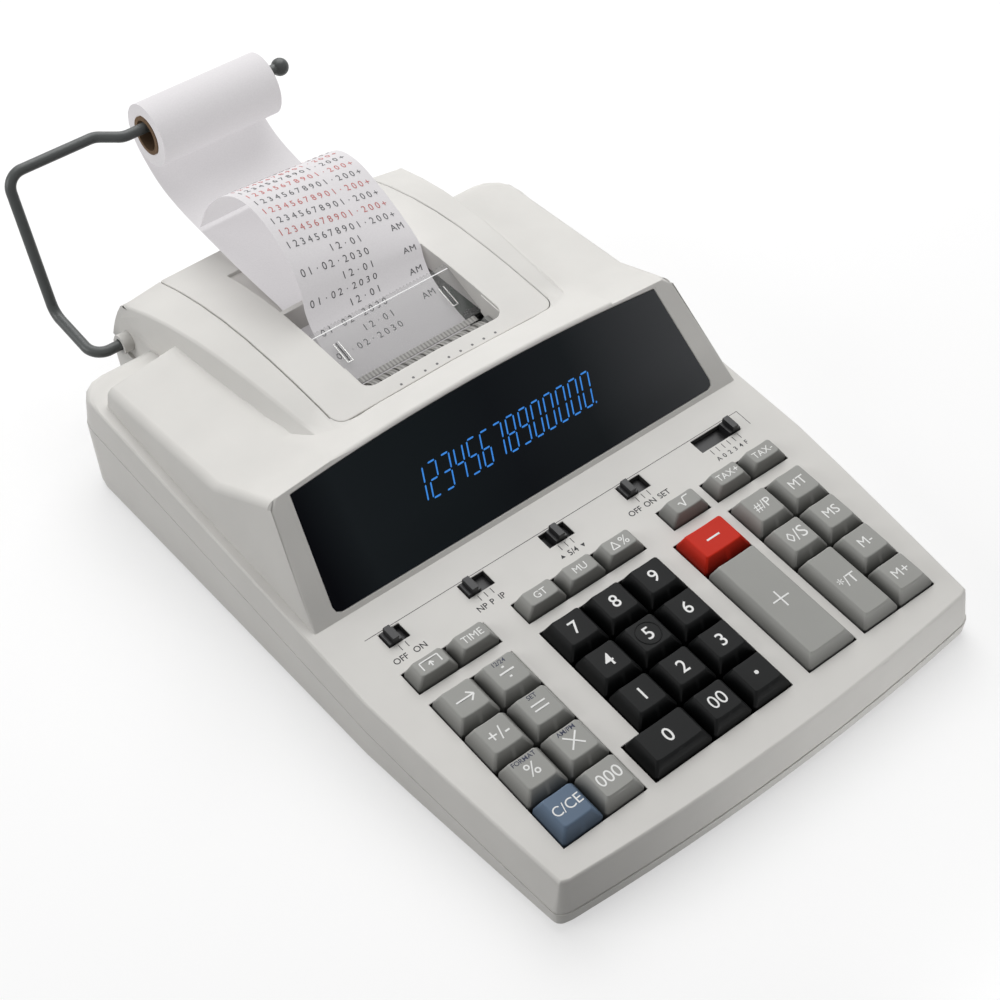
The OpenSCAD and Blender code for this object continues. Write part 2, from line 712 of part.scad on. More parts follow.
module tube_x(y, z, half, r, bore) {
  difference() {
    along_x([y, z], -half, half, r);
    along_x([y, z], -half - 1, half + 1, bore);
  }
}

module roll_core() color([0.45, 0.33, 0.22]) place()
  tube_x(roll_y, roll_z, paper_w / 2 + 0.4, core_r, core_bore);

module paper_roll() color([0.94, 0.93, 0.92]) place()
  tube_x(roll_y, roll_z, paper_w / 2, roll_r, core_r + 0.05);

module paper_web() color([0.95, 0.95, 0.94]) place()
  translate([-paper_w / 2, 0, 0])
    rotate([90, 0, 90])
      linear_extrude(height = paper_w)
        polygon(strip(smooth, paper_t));

// Printer frame: two cheeks on a base plate, and the motor on its own bracket
module printer_frame() color([0.30, 0.31, 0.32]) place() {
  difference() {
    union() {
      for (s = [-1, 1])
        translate([s > 0 ? frame_in : -frame_in - frame_t, 0, 0])
          rotate([90, 0, 90])
            linear_extrude(height = frame_t)
              polygon([[174, frame_low], [228, frame_low], [228, 44], [219, 48], [206, 55],
                       [202, drum_at[1] + 6], [176, drum_at[1] + 8]]);
      translate([-frame_in - frame_t, 174, frame_low])
        cube([2 * frame_in + 2 * frame_t, 54, 2]);
      translate([gear_x + gear_t + 1.5, 174, frame_low])
        cube([2, 24, pinion_at[1] - frame_low + 11]);
      translate([frame_in, 174, frame_low])
        cube([gear_x + gear_t + 3.5 - frame_in, 24, 2]);
    }
    for (p = [platen_at, drum_at, ink_at])
      along_x(p, -60, 60, shaft_r + 0.06);
    along_x(pinion_at, -60, 60, shaft_r + 0.3);
  }
  difference() {
    along_x(pinion_at, gear_x + gear_t + 3.5, gear_x + gear_t + 27, 10);
    along_x(pinion_at, gear_x + gear_t + 3, gear_x + gear_t + 14, shaft_r + 0.06);
  }
}

module platen() color([0.10, 0.10, 0.10]) place() union() {
  along_x(platen_at, -29.4, 29.4, platen_r);
  along_x(platen_at, -34, gear_x + gear_t, shaft_r);
  gear(platen_at, gear_teeth, 150 + 180 / gear_teeth);
}

module type_drum() color([0.20, 0.20, 0.21]) place() union() {
  along_x(drum_at, -28.5, 28.5, drum_r - 0.6);
  for (i = [0 : 12])
    along_x(drum_at, -27.5 + i * 4.3, -24.1 + i * 4.3, drum_r);
  along_x(drum_at, -34, gear_x + gear_t, shaft_r);
  gear(drum_at, gear_teeth, -30);
}

module ink_roller() color([0.16, 0.12, 0.30]) place() union() {
  along_x(ink_at, -28.5, 28.5, ink_r);
  along_x(ink_at, -33.5, 33.5, shaft_r);
}

module motor_pinion() color([0.75, 0.65, 0.40]) place() union() {
  along_x(pinion_at, gear_x, gear_x + gear_t + 13.5, shaft_r);
  gear(pinion_at, pinion_teeth, 45 + 180 / pinion_teeth);
}

module circuit_board() color([0.10, 0.35, 0.20]) place() union() {
  on_deck() {
    difference() {
      translate([-board_half, board_front, board_low])
        cube([2 * board_half, board_d, board_top - board_low]);
      for (s = [-1, 1])
        translate([s * (board_half - 1.75) - 3.75, board_front + board_d - 10, board_low - 1])
          cube([7.5, 12, 5]);
    }
  }
  translate([56, 224, base_z + wall])
    cube([34, 32, 28]);
}

module key_mat() color([0.30, 0.30, 0.32]) place() on_deck() union() {
  translate([-91.5, 12.5, board_top])
    cube([183, 92, mat_top - board_top]);
  for (k = KEYS)
    translate([k[1], k[2], mat_top - 0.2])
      cylinder(h = stem_low - 0.1 - mat_top + 0.2, r1 = 4.4, r2 = 3);
}

module feet() color([0.12, 0.12, 0.12]) place() {
  for (p = [[-88, 26], [88, 26], [-85, 250], [85, 250]])
    translate([p[0], p[1], 0])
      cylinder(h = foot_h, r = foot_r);
}

// Key cap: a skirt in the well, a sloping body and a top with a shallow dish
top_side = 3.3;
top_front = 3.7;
top_back = 1.8;
module key_cap(k) {
  w = k[3] / 2 - key_gap;
  d = k[4] / 2 - key_gap;
  short = k[4] < 14 ? 0.6 : 1;
  tw = k[3] / 2 - top_side;
  f = -k[4] / 2 + top_front * short;
  b = k[4] / 2 - top_back * short;
  dish_r = tw * tw / 0.8;
  translate([k[1], k[2], 0]) {
    difference() {
      union() {
        translate([-w, -d, cap_low])
          cube([2 * w, 2 * d, 1 - cap_low]);
        polyhedron(
          points = [[-w, -d, 0.9], [w, -d, 0.9], [w, d, 0.9], [-w, d, 0.9],
                    [-tw, f, key_h], [tw, f, key_h], [tw, b, key_h], [-tw, b, key_h]],
          faces = [[0, 1, 2, 3], [7, 6, 5, 4], [0, 4, 5, 1], [1, 5, 6, 2], [2, 6, 7, 3], [3, 7, 4, 0]]);
      }
      translate([0, -k[4], key_h + dish_r - 0.4])
        rotate([-90, 0, 0])
          cylinder(h = 2 * k[4], r = dish_r, $fn = 96);
    }
    translate([-stem_w / 2, -stem_w / 2, stem_low])
      cube([stem_w, stem_w, cap_low - stem_low + 1]);
  }
}

module key(k) color(key_colors[k[5]]) place() on_deck()
  key_cap(k);

// Switch knob: a block with a grip ridge and a shutter under the deck
module switch_knob(s) color([0.10, 0.10, 0.10]) place() on_deck() {
  shutter = knob_w + 2 * stop_pitch * (s[2] - 1) + 2;
  x = knob_x(s);
  d = slot_d - 2 * run_gap;
  translate([x - knob_w / 2, switch_y - d / 2, -wall - 1])
    cube([knob_w, d, wall + 2.2]);
  translate([x - knob_w / 4, switch_y - d / 2, 1])
    cube([knob_w / 2, d, knob_h - 1]);
  translate([x - shutter / 2, switch_y - d / 2 - 1.5, -wall - 1.4])
    cube([shutter, d + 3, 1.2]);
}

for (k = KEYS)
  key(k);
for (s = SWITCHES)
  switch_knob(s);
lower_case();
upper_case();
display_window();
display_tube();
printer_cover();
tear_bar();
paper_arm();
roll_core();
paper_roll();
paper_web();
printer_frame();
platen();
type_drum();
ink_roller();
motor_pinion();
circuit_board();
key_mat();
feet();
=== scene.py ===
import json
from bisect import bisect_right
from math import atan2, cos, pi, radians, sin, tan
import bmesh
import bpy
from mathutils import Matrix, Vector
from mathutils.bvhtree import BVHTree

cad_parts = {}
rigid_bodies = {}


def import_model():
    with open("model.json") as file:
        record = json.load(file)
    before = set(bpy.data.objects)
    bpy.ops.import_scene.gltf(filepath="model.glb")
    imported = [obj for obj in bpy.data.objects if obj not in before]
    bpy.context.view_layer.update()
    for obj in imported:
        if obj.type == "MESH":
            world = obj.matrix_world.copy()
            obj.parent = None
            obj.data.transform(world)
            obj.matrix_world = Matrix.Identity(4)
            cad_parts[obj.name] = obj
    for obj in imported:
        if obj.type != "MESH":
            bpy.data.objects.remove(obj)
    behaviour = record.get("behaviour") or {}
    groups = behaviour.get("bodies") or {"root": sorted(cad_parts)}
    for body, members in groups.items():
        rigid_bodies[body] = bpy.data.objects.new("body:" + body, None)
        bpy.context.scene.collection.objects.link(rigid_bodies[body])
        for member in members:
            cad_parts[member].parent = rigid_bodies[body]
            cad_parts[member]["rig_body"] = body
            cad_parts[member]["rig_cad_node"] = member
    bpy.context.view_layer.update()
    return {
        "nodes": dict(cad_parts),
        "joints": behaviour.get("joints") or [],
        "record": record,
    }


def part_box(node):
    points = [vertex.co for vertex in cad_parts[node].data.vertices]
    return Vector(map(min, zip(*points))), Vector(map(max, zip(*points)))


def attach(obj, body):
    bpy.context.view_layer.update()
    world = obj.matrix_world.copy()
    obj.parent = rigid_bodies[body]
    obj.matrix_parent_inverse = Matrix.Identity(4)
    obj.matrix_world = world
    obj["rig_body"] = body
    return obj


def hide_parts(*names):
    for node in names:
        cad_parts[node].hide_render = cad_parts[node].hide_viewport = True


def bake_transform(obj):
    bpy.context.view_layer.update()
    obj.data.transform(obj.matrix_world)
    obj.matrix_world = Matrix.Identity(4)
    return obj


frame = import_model()

# Picture: the machine is seen from above its front left corner, through a long lens,
# on a square picture. The sight line has no roll.
eye = Vector((-0.34407, -0.43511, 0.57857))
sight = Vector((0.4424, 0.5312, -0.7225))
lens = 72.16
film_side = 36
scene = bpy.context.scene
scene.view_settings.view_transform = "Standard"
camera = bpy.data.objects.new("camera", bpy.data.cameras.new("camera"))
camera.data.lens = lens
camera.data.sensor_width = film_side
camera.matrix_world = Matrix.Translation(eye) @ sight.to_track_quat("-Z", "Y").to_matrix().to_4x4()
scene.collection.objects.link(camera)
scene.camera = camera

# Studio: a white sweep of paper as the floor, one very large soft box overhead, a nearer one behind
# the printer, one behind the left flank, a low strip before the right front, and a dim even surround.
floor_span = 9
floor_white = 0.42
floor_lift = 0.58
sky_level = 0.165
strip_x = 0.060
strip_w = 0.20
strip_h = 0.012
strip_spread = radians(80)


def fix(node, sockets):
    """sets constant values on a shader node's own sockets"""
    for name, value in sockets.items():
        node.inputs[name].default_value = value


def add(tree, kind, sockets=None, **settings):
    """a new shader node with its constants and settings"""
    made = tree.nodes.new("ShaderNode" + kind)
    fix(made, sockets or {})
    for name, value in settings.items():
        setattr(made, name, value)
    return made


def wire(tree, *links):
    """joins shader nodes, each link given as node, output, node, input"""
    for source, output, target, entry in links:
        tree.links.new(source.outputs[output], target.inputs[entry])


def finish_of(name):
    finish = bpy.data.materials.new(name)
    finish.use_nodes = True
    return finish, finish.node_tree, finish.node_tree.nodes["Principled BSDF"]


def seen_rays(tree):
    """1 for rays that show the surround itself: seen directly, mirrored or through something clear"""
    rays = add(tree, "LightPath")
    seen = add(tree, "Math", operation="MAXIMUM")
    any_way = add(tree, "Math", operation="MAXIMUM")
    direct = add(tree, "Math", {1: 0.5}, operation="LESS_THAN")
    both = add(tree, "Math", operation="MULTIPLY")
    wire(tree, (rays, "Is Camera Ray", seen, 0), (rays, "Is Glossy Ray", seen, 1),
         (seen, 0, any_way, 0), (rays, "Is Transmission Ray", any_way, 1),
         (rays, "Diffuse Depth", direct, 0), (any_way, 0, both, 0), (direct, 0, both, 1))
    return both


def started(primitive, **sizes):
    """a new primitive, selected alone, as the start of a piece"""
    bpy.ops.object.select_all(action="DESELECT")
    primitive(**sizes)
    return bpy.context.object


floor = started(bpy.ops.mesh.primitive_plane_add, size=floor_span)
floor.name = "floor"
floor_paper, tree, paper = finish_of("floor_paper")
fix(paper, {"Base Color": (floor_white, floor_white, floor_white, 1), "Roughness": 0.9,
            "Specular IOR Level": 0.0, "Emission Color": (1, 1, 1, 1)})
lift = add(tree, "Math", {1: floor_lift}, operation="MULTIPLY")
wire(tree, (seen_rays(tree), 0, lift, 0), (lift, 0, paper, "Emission Strength"))
floor.data.materials.append(floor_paper)

scene.world = bpy.data.worlds.new("surround")
scene.world.use_nodes = True
tree = scene.world.node_tree
sky = tree.nodes["Background"]
fix(sky, {"Color": (1, 1, 1, 1)})
level = add(tree, "MapRange", {"To Min": sky_level, "To Max": 1.0})
wire(tree, (seen_rays(tree), 0, level, "Value"), (level, 0, sky, "Strength"))


def soft_box(name, place, size, power, aim=(0, 0, 0)):
    """a square soft box that faces aim"""
    lamp = bpy.data.objects.new(name, bpy.data.lights.new(name, "AREA"))
    lamp.data.size = size
    lamp.data.energy = power
    lamp.location = place
    lamp.rotation_euler = (Vector(aim) - Vector(place)).to_track_quat("-Z", "Y").to_euler()
    scene.collection.objects.link(lamp)
    return lamp.data


soft_box("key_light", (0.45, 0.62, 1.40), 1.6, 21.5)
soft_box("back_light", (0.32, 0.42, 0.50), 0.5, 1.05)
soft_box("left_light", (-1.5, 0.6, 0.7), 1.0, 11.5)
strip = soft_box("strip_light", (strip_x, -0.33, 0.007), strip_w, 0.036, (strip_x, 0, 0.002))
strip.shape = "RECTANGLE"
strip.size_y = strip_h
strip.spread = strip_spread

# Base shell: the lower half of the case, moulded in the same pale plastic as the top.
# It is screwed to the upper shell from below, and its top edge meets the skirt in a fine groove.
case_colour = (0.665, 0.652, 0.625)
base_edge = 0.0008
base_slack = 0.0001
base_least_run = 0.002
seam_edge = 0.00035
seam_depth = 0.0152
seam_slack = 0.00012
outer_reach = 0.03
front_reach = 0.00195
deck_front_h = 0.0225
solids = frame["nodes"]


def shaded(colour, share):
    return tuple(c * share for c in colour)


def ramp(tree, *stops):
    """a colour ramp through some stops, each a place and a colour"""
    made = add(tree, "ValToRGB")
    marks = made.color_ramp.elements
    marks[0].position, marks[1].position = stops[0][0], stops[-1][0]
    for place, _ in stops[1:-1]:
        marks.new(place)
    for mark, (_, colour) in zip(marks, stops):
        mark.color = colour + (1,)
    return made


def moulded(name, colour, rough, grain=0.12, grain_scale=2600, shine=0.35):
    """moulded plastic: a fine spark-eroded grain, a little cloudiness in colour and gloss"""
    finish, tree, surface = finish_of(name)
    fix(surface, {"Specular IOR Level": shine})
    where = add(tree, "TexCoord")
    fine = add(tree, "TexNoise", {"Scale": grain_scale, "Detail": 2})
    broad = add(tree, "TexNoise", {"Scale": 35, "Detail": 4})
    tint = ramp(tree, (0.3, shaded(colour, 0.965)), (0.7, shaded(colour, 1.025)))
    gloss = add(tree, "MapRange", {"To Min": rough - 0.09, "To Max": rough + 0.09})
    bump = add(tree, "Bump", {"Strength": grain, "Distance": 0.0001})
    wire(tree, (where, "Object", fine, "Vector"), (where, "Object", broad, "Vector"),
         (broad, "Fac", tint, "Fac"), (tint, "Color", surface, "Base Color"),
         (fine, "Fac", gloss, "Value"), (gloss, 0, surface, "Roughness"),
         (fine, "Fac", bump, "Height"), (bump, "Normal", surface, "Normal"))
    return finish


def dress(piece, finish):
    piece.data.materials.clear()
    piece.data.materials.append(finish)
    for facet in piece.data.polygons:
        facet.material_index = 0


def only(piece):
    bpy.ops.object.select_all(action="DESELECT")
    piece.select_set(True)
    bpy.context.view_layer.objects.active = piece


def copy_of(node, name):
    """a copy of a CAD node as one closed skin, with its flat faces whole again"""
    piece = solids[node].copy()
    piece.data = piece.data.copy()
    piece.name = name
    piece.parent = None
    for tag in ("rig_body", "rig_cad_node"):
        del piece[tag]
    scene.collection.objects.link(piece)
    only(piece)
    bpy.ops.mesh.customdata_custom_splitnormals_clear()
    bpy.ops.object.mode_set(mode="EDIT")
    bpy.ops.mesh.select_all(action="SELECT")
    bpy.ops.mesh.remove_doubles(threshold=0.000005)
    bpy.ops.mesh.dissolve_limited(angle_limit=radians(0.4))
    bpy.ops.object.mode_set(mode="OBJECT")
    return piece


def every_edge(a, b, way):
    return True


def round_edges(piece, width, steps, chosen=every_edge, sharp=25):
    """bevels the outward edges that turn by more than sharp degrees and that chosen(end, end, way) picks"""
    only(piece)
    bpy.ops.object.mode_set(mode="EDIT")
    bpy.ops.mesh.select_mode(type="EDGE")
    bpy.ops.mesh.select_all(action="DESELECT")
    skin = bmesh.from_edit_mesh(piece.data)
    for edge in skin.edges:
        if len(edge.link_faces) == 2 and edge.is_convex and edge.calc_face_angle() > radians(sharp):
            way = edge.link_faces[0].normal + edge.link_faces[1].normal
            if chosen(edge.verts[0].co, edge.verts[1].co, way):
                edge.select_set(True)
    bmesh.update_edit_mesh(piece.data)
    bpy.ops.mesh.bevel(offset=width, segments=steps, affect="EDGES")
    bpy.ops.object.mode_set(mode="OBJECT")


def soften(piece, angle=35):
    """smooth shading over the rounded edges that leaves the broad faces flat"""
    only(piece)
    bpy.ops.object.shade_smooth_by_angle(angle=radians(angle))
    flat = piece.modifiers.new("flat_faces", "WEIGHTED_NORMAL")
    flat.keep_sharp = True
    flat.weight = 90
    bpy.ops.object.modifier_apply(modifier="flat_faces")


def joint_of(name):
    return [joint for joint in frame["joints"] if joint["name"] == name][0]


case_plastic = moulded("case_plastic", case_colour, 0.55)
base_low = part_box("lower_case")[0].z
front_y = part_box("upper_case")[0].y + front_reach
press_axis = joint_of("key_5_press")["axis"]
tilt = atan2(press_axis[1], -press_axis[2])
deck = Matrix.Translation((0, front_y, deck_front_h)) @ Matrix.Rotation(tilt, 4, "X")
off_deck = deck.inverted()
seam_low = -seam_depth * cos(tilt)


def on_base(a, b, way):
    return max(a.z, b.z) < base_low + base_slack and (a - b).length > base_least_run


def on_seam(a, b, way):
    p = (a + b) / 2
    looks_out = way.x * p.x + way.y * p.y > outer_reach * way.length
    return looks_out and max(abs((off_deck @ end).z - seam_low) for end in (a, b)) < seam_slack


base_shell = copy_of("lower_case", "base_shell")
round_edges(base_shell, base_edge, 3, on_base)
round_edges(base_shell, seam_edge, 2, on_seam)
soften(base_shell)
dress(base_shell, case_plastic)
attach(base_shell, "base")
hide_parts("lower_case")

# Feet: four round pads of black rubber, dull and a little coarse.
# They are stuck under the corners of the base and keep the machine from sliding.
dress(solids["feet"], moulded("foot_rubber", (0.018, 0.018, 0.019), 0.8, 0.3, 1500))

# Upper shell: one moulding with the sloping key deck, the display hump and the printer housing.
# Its rim, crest and flanks are well rounded, the key wells and switch slots are only broken edges.
rim_edge = 0.0004
rim_front = 0.010
rim_back = 0.262
rim_side = 0.0955
rim_side_back = 0.1
rim_low = -0.0012
rim_high = 0.0001
deck_end = 0.131
level_slack = 0.00006
crest_edge = 0.0011
crest_low = 0.0015
crest_least_run = 0.004
hump_foot = 0.1331
flank_edge = 0.0030
flank_low = 0.006
flank_front = hump_foot + 0.03
flank_side = 0.088
well_edge = 0.0003
well_lip = 0.0007
painted_well_shade = (0.050, 0.049, 0.047)
key_field_side = 0.0945
key_field_front = 0.0105
key_field_back = 0.125
frame_edge = 0.0003
frame_slack = 0.00008
recess_depth = 0.012
recess_side = 0.0935
recess_top = 0.0518
face_angle = radians(46.5)
face = Matrix.Translation((0, front_y + hump_foot, deck_front_h + hump_foot * tan(tilt)))
face = face @ Matrix.Rotation(face_angle, 4, "X")
off_face = face.inverted()


def in_recess(p):
    """true in the recess of the display window"""
    q = off_face @ p
    return abs(q.z) < recess_depth and abs(q.x) < recess_side and q.y < recess_top


def in_key_field(q):
    return abs(q.x) < key_field_side and key_field_front < q.y < key_field_back


def on_rim(a, b, way):
    qa, qb = off_deck @ a, off_deck @ b
    q = (qa + qb) / 2
    side = rim_side if q.y < deck_end else rim_side_back
    outside = q.y < rim_front or q.y > rim_back or abs(q.x) > side
    return outside and abs(qa.z - qb.z) < level_slack and rim_low < q.z < rim_high


def on_crest(a, b, way):
    p = (a + b) / 2
    q = off_deck @ p
    return q.z > crest_low and q.y > hump_foot and (a - b).length > crest_least_run and not in_recess(p)


def on_flank(a, b, way):
    q = off_deck @ ((a + b) / 2)
    along = abs(a.y - b.y) > 4 * abs(a.x - b.x)
    return along and q.z > flank_low and q.y > flank_front and abs(q.x) > flank_side


def on_wells(a, b, way):
    q = off_deck @ ((a + b) / 2)
    return abs(q.z) < level_slack and in_key_field(q)


def on_frame(a, b, way):
    return in_recess((a + b) / 2) and max(abs((off_face @ end).z) for end in (a, b)) < frame_slack


upper_shell = copy_of("upper_case", "upper_shell")
round_edges(upper_shell, rim_edge, 2, on_rim, 20)
round_edges(upper_shell, flank_edge, 5, on_flank)
round_edges(upper_shell, crest_edge, 3, on_crest)
round_edges(upper_shell, well_edge, 2, on_wells)
round_edges(upper_shell, frame_edge, 1, on_frame)
round_edges(upper_shell, seam_edge, 2, on_seam)
soften(upper_shell)
dress(upper_shell, case_plastic)
# The walls of the key wells carry a painted shade, darker than the case plastic, so that the narrow gaps
# round the caps read deep.
upper_shell.data.materials.append(moulded("well_shade", painted_well_shade, 0.6))
for facet in upper_shell.data.polygons:
    q = off_deck @ facet.center
    if q.z < -well_lip and in_key_field(q):
        facet.material_index = 1
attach(upper_shell, "base")
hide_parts("upper_case")

# Key caps: injection moulded caps with a straight skirt, sloping sides and a shallow dish across the top.
# Each is pressed on a square stem. The caps of the front row roll over at the front.
cap_slope_z = 0.0010
corner_r = 0.0011
dish_depth = 0.0004
dish_cuts = 8
top_round = 0.00045
front_roll = 0.0026
row_slack = 0.0005
stem_half = 0.0025
stem_room = 0.0040
stem_l = 0.0057
top_side = 0.0028
top_front = 0.0032
top_back = 0.0013
short_depth = 0.012
short_share = 0.6
# The sides of each cap carry painted shade, down to this share of the cap's colour at the deck.
painted_side_shade = 0.38
side_end = 0.0009
hair = 1e-6
key_colours = {
    "key_black": (0.0075, 0.0080, 0.0082),
    "key_grey": (0.345, 0.345, 0.328),
    "key_blue": (0.130, 0.180, 0.252),
    "key_red": (0.560, 0.024, 0.010),
}


def corners(spots):
    """lowest and highest corner of the box round some points"""
    return [Vector(pick(spot[i] for spot in spots) for i in range(3)) for pick in (min, max)]


def deck_box(node):
    """lowest and highest corner of a CAD node, measured on the deck"""
    return corners([off_deck @ v.co for v in solids[node].data.vertices])


def pick_faces(piece, chosen):
    bpy.ops.mesh.select_mode(type="FACE")
    bpy.ops.mesh.select_all(action="DESELECT")
    skin = bmesh.from_edit_mesh(piece.data)
    skin.normal_update()
    for facet in skin.faces:
        facet.select_set(chosen(facet))
    bmesh.update_edit_mesh(piece.data)


def pick_edges(piece, chosen):
    bpy.ops.mesh.select_mode(type="EDGE")
    bpy.ops.mesh.select_all(action="DESELECT")
    skin = bmesh.from_edit_mesh(piece.data)
    for edge in skin.edges:
        edge.select_set(chosen(edge.verts[0].co, edge.verts[1].co))
    bmesh.update_edit_mesh(piece.data)


def top_insets(depth):
    """how far the top of a cap stays behind the front and the back of its skirt"""
    share = short_share if depth < short_depth else 1
    return top_front * share, top_back * share


def dish(x, top_w):
    """depth of the dish at a distance from the middle of a cap"""
    return dish_depth * max(0, 1 - (2 * x / top_w) ** 2)


def cap_shape(width, depth, low, high, stem_low, roll):
    """one cap round its own centre, on the deck plane"""
    cap = started(bpy.ops.mesh.primitive_cube_add, size=1, location=(0, 0, (low + cap_slope_z) / 2))
    cap.scale = (width, depth, cap_slope_z - low)
    bpy.ops.object.transform_apply(location=True, rotation=True, scale=True)
    front, back = top_insets(depth)
    top_w = width - 2 * top_side
    top_y = front - depth / 2
    bpy.ops.object.mode_set(mode="EDIT")
    pick_faces(cap, lambda f: f.normal.z > 0.9)
    bpy.ops.mesh.extrude_region_move(TRANSFORM_OT_translate={"value": (0, 0, high - cap_slope_z)})
    bpy.ops.transform.resize(value=(top_w / width, (depth - front - back) / depth, 1))
    bpy.ops.transform.translate(value=(0, (front - back) / 2, 0))
    pick_edges(cap, lambda a, b: abs(a.z - b.z) > cap_slope_z / 2)
    bpy.ops.mesh.bevel(offset=corner_r, segments=3, affect="EDGES")
    if roll:
        pick_edges(cap, lambda a, b: min(a.z, b.z) > high - hair and max(a.y, b.y) < top_y + 10 * hair)
        bpy.ops.mesh.bevel(offset=front_roll, segments=6, affect="EDGES")
    pick_edges(cap, lambda a, b: min(a.z, b.z) > high - hair and (a - b).length > hair
               and not (roll and max(a.y, b.y) < top_y + front_roll + 100 * hair))
    bpy.ops.mesh.bevel(offset=top_round, segments=3, affect="EDGES")
    for cut in range(1 - dish_cuts // 2, dish_cuts // 2):
        bpy.ops.mesh.select_all(action="SELECT")
        bpy.ops.mesh.bisect(plane_co=(cut * top_w / dish_cuts, 0, 0), plane_no=(1, 0, 0))
    pick_faces(cap, lambda f: f.normal.z < -0.9)
    bpy.ops.mesh.dissolve_faces()
    pick_faces(cap, lambda f: f.normal.z < -0.9)
    bpy.ops.mesh.inset(thickness=min(width, depth) / 2 - stem_room)
    skin = bmesh.from_edit_mesh(cap.data)
    stem = [f for f in skin.faces if f.select][0]
    near, far = corners([v.co for v in stem.verts])
    bpy.ops.transform.resize(value=(2 * stem_half / (far.x - near.x), 2 * stem_half / (far.y - near.y), 1),
                             center_override=tuple((near + far) / 2))
    bpy.ops.mesh.extrude_region_move(TRANSFORM_OT_translate={"value": (0, 0, stem_low - low)})
    bpy.ops.object.mode_set(mode="OBJECT")
    for v in cap.data.vertices:
        if v.co.z > high - 2 * top_round:
            v.co.z -= dish(v.co.x, top_w)
    soften(cap, 40)
    return cap


def own_copy(piece, name):
    made = piece.copy()
    made.data = piece.data.copy()
    made.name = name
    scene.collection.objects.link(made)
    return made


def key_plastic(name, colour):
    """moulded plastic with painted shade that darkens the sides of a cap towards the deck, where the well
    shades them
    """
    finish = moulded(name, colour, 0.41, 0.10, 3000, 0.09)
    tree = finish.node_tree
    surface = tree.nodes["Principled BSDF"]
    tint = surface.inputs["Base Color"].links[0].from_node
    up = deck.to_3x3() @ Vector((0, 0, 1))
    deck_level = up.dot(deck.translation)
    top_level = deck_level + deck_box("key_5")[1].z
    where = add(tree, "TexCoord")
    height = add(tree, "VectorMath", {1: up}, operation="DOT_PRODUCT")
    shade = add(tree, "MapRange", {"From Min": deck_level, "From Max": top_level - side_end,
                                   "To Min": painted_side_shade, "To Max": 1.0})
    mixed = add(tree, "VectorMath", operation="SCALE")
    wire(tree, (where, "Object", height, 0), (height, "Value", shade, "Value"), (tint, "Color", mixed, 0),
         (shade, 0, mixed, "Scale"), (mixed, 0, surface, "Base Color"))
    return finish


key_finishes = {slot: key_plastic(slot + "_plastic", colour) for slot, colour in key_colours.items()}
key_slots = {s["node"]: s["material_slot"] for s in frame["record"]["subparts"]
             if s["node"].startswith("key_") and s["material_slot"] in key_colours}
front_row = min(deck_box(key)[0].y for key in key_slots) + row_slack
cap_models = {}
cap_tops = {}
for key, slot in key_slots.items():
    low, high = deck_box(key)
    width, depth = high.x - low.x, high.y - low.y
    rolled = low.y < front_row and slot != "key_blue"
    size = (round(width, 4), round(depth, 4), rolled)
    if size not in cap_models:
        cap_models[size] = cap_shape(width, depth, low.z + stem_l, high.z, low.z, rolled)
    cap = own_copy(cap_models[size], "cap_" + key)
    middle = (low + high) / 2
    front, back = top_insets(depth)
    top_middle = Vector((middle.x, middle.y + (front - back) / 2, high.z))
    cap_tops[key] = (top_middle, width - 2 * top_side, depth - front - back)
    cap.data.transform(deck @ Matrix.Translation((middle.x, middle.y, 0)))
    dress(cap, key_finishes[slot])
    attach(cap, key)
    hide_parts(key)
for model in cap_models.values():
    bpy.data.objects.remove(model)

# Legends: figures and signs in a plain sans letter, printed on the caps in white,
# with four small second words in navy. They lie in the dish of the cap and move with it.
mm = 0.001
letter_share = 0.729
ink_t = 0.00004
legend_lift = 0.00002
figure_h = 0.0056
figure_bold = 0.00005
words_h = 0.0043
short_words_h = 0.0031
small_h = 0.0019
small_bold = 0.00002
small_back = 0.0015
stroke_w = 0.00050
fine_stroke_w = 0.0004
point_w = 0.0012
sign_scale = 1.3
small_words = {"key_divide": "12/24", "key_equals": "SET", "key_multiply": "AM/PM", "key_percent": "FORMAT"}
key_words = {
    "key_time": ("TIME", short_words_h), "key_grand_total": ("GT", short_words_h),
    "key_markup": ("MU", short_words_h), "key_tax_plus": ("TAX+", short_words_h),
    "key_tax_minus": ("TAX-", short_words_h), "key_sign": ("+/-", figure_h), "key_percent": ("%", figure_h),
    "key_clear": ("C/CE", 0.0041), "key_000": ("000", 0.0051), "key_hash": ("#/P", words_h),
    "key_total": ("*/T", 0.0048), "key_mt": ("MT", words_h), "key_ms": ("MS", words_h),
    "key_m_minus": ("M-", words_h), "key_m_plus": ("M+", words_h), "key_00": ("00", figure_h),
}
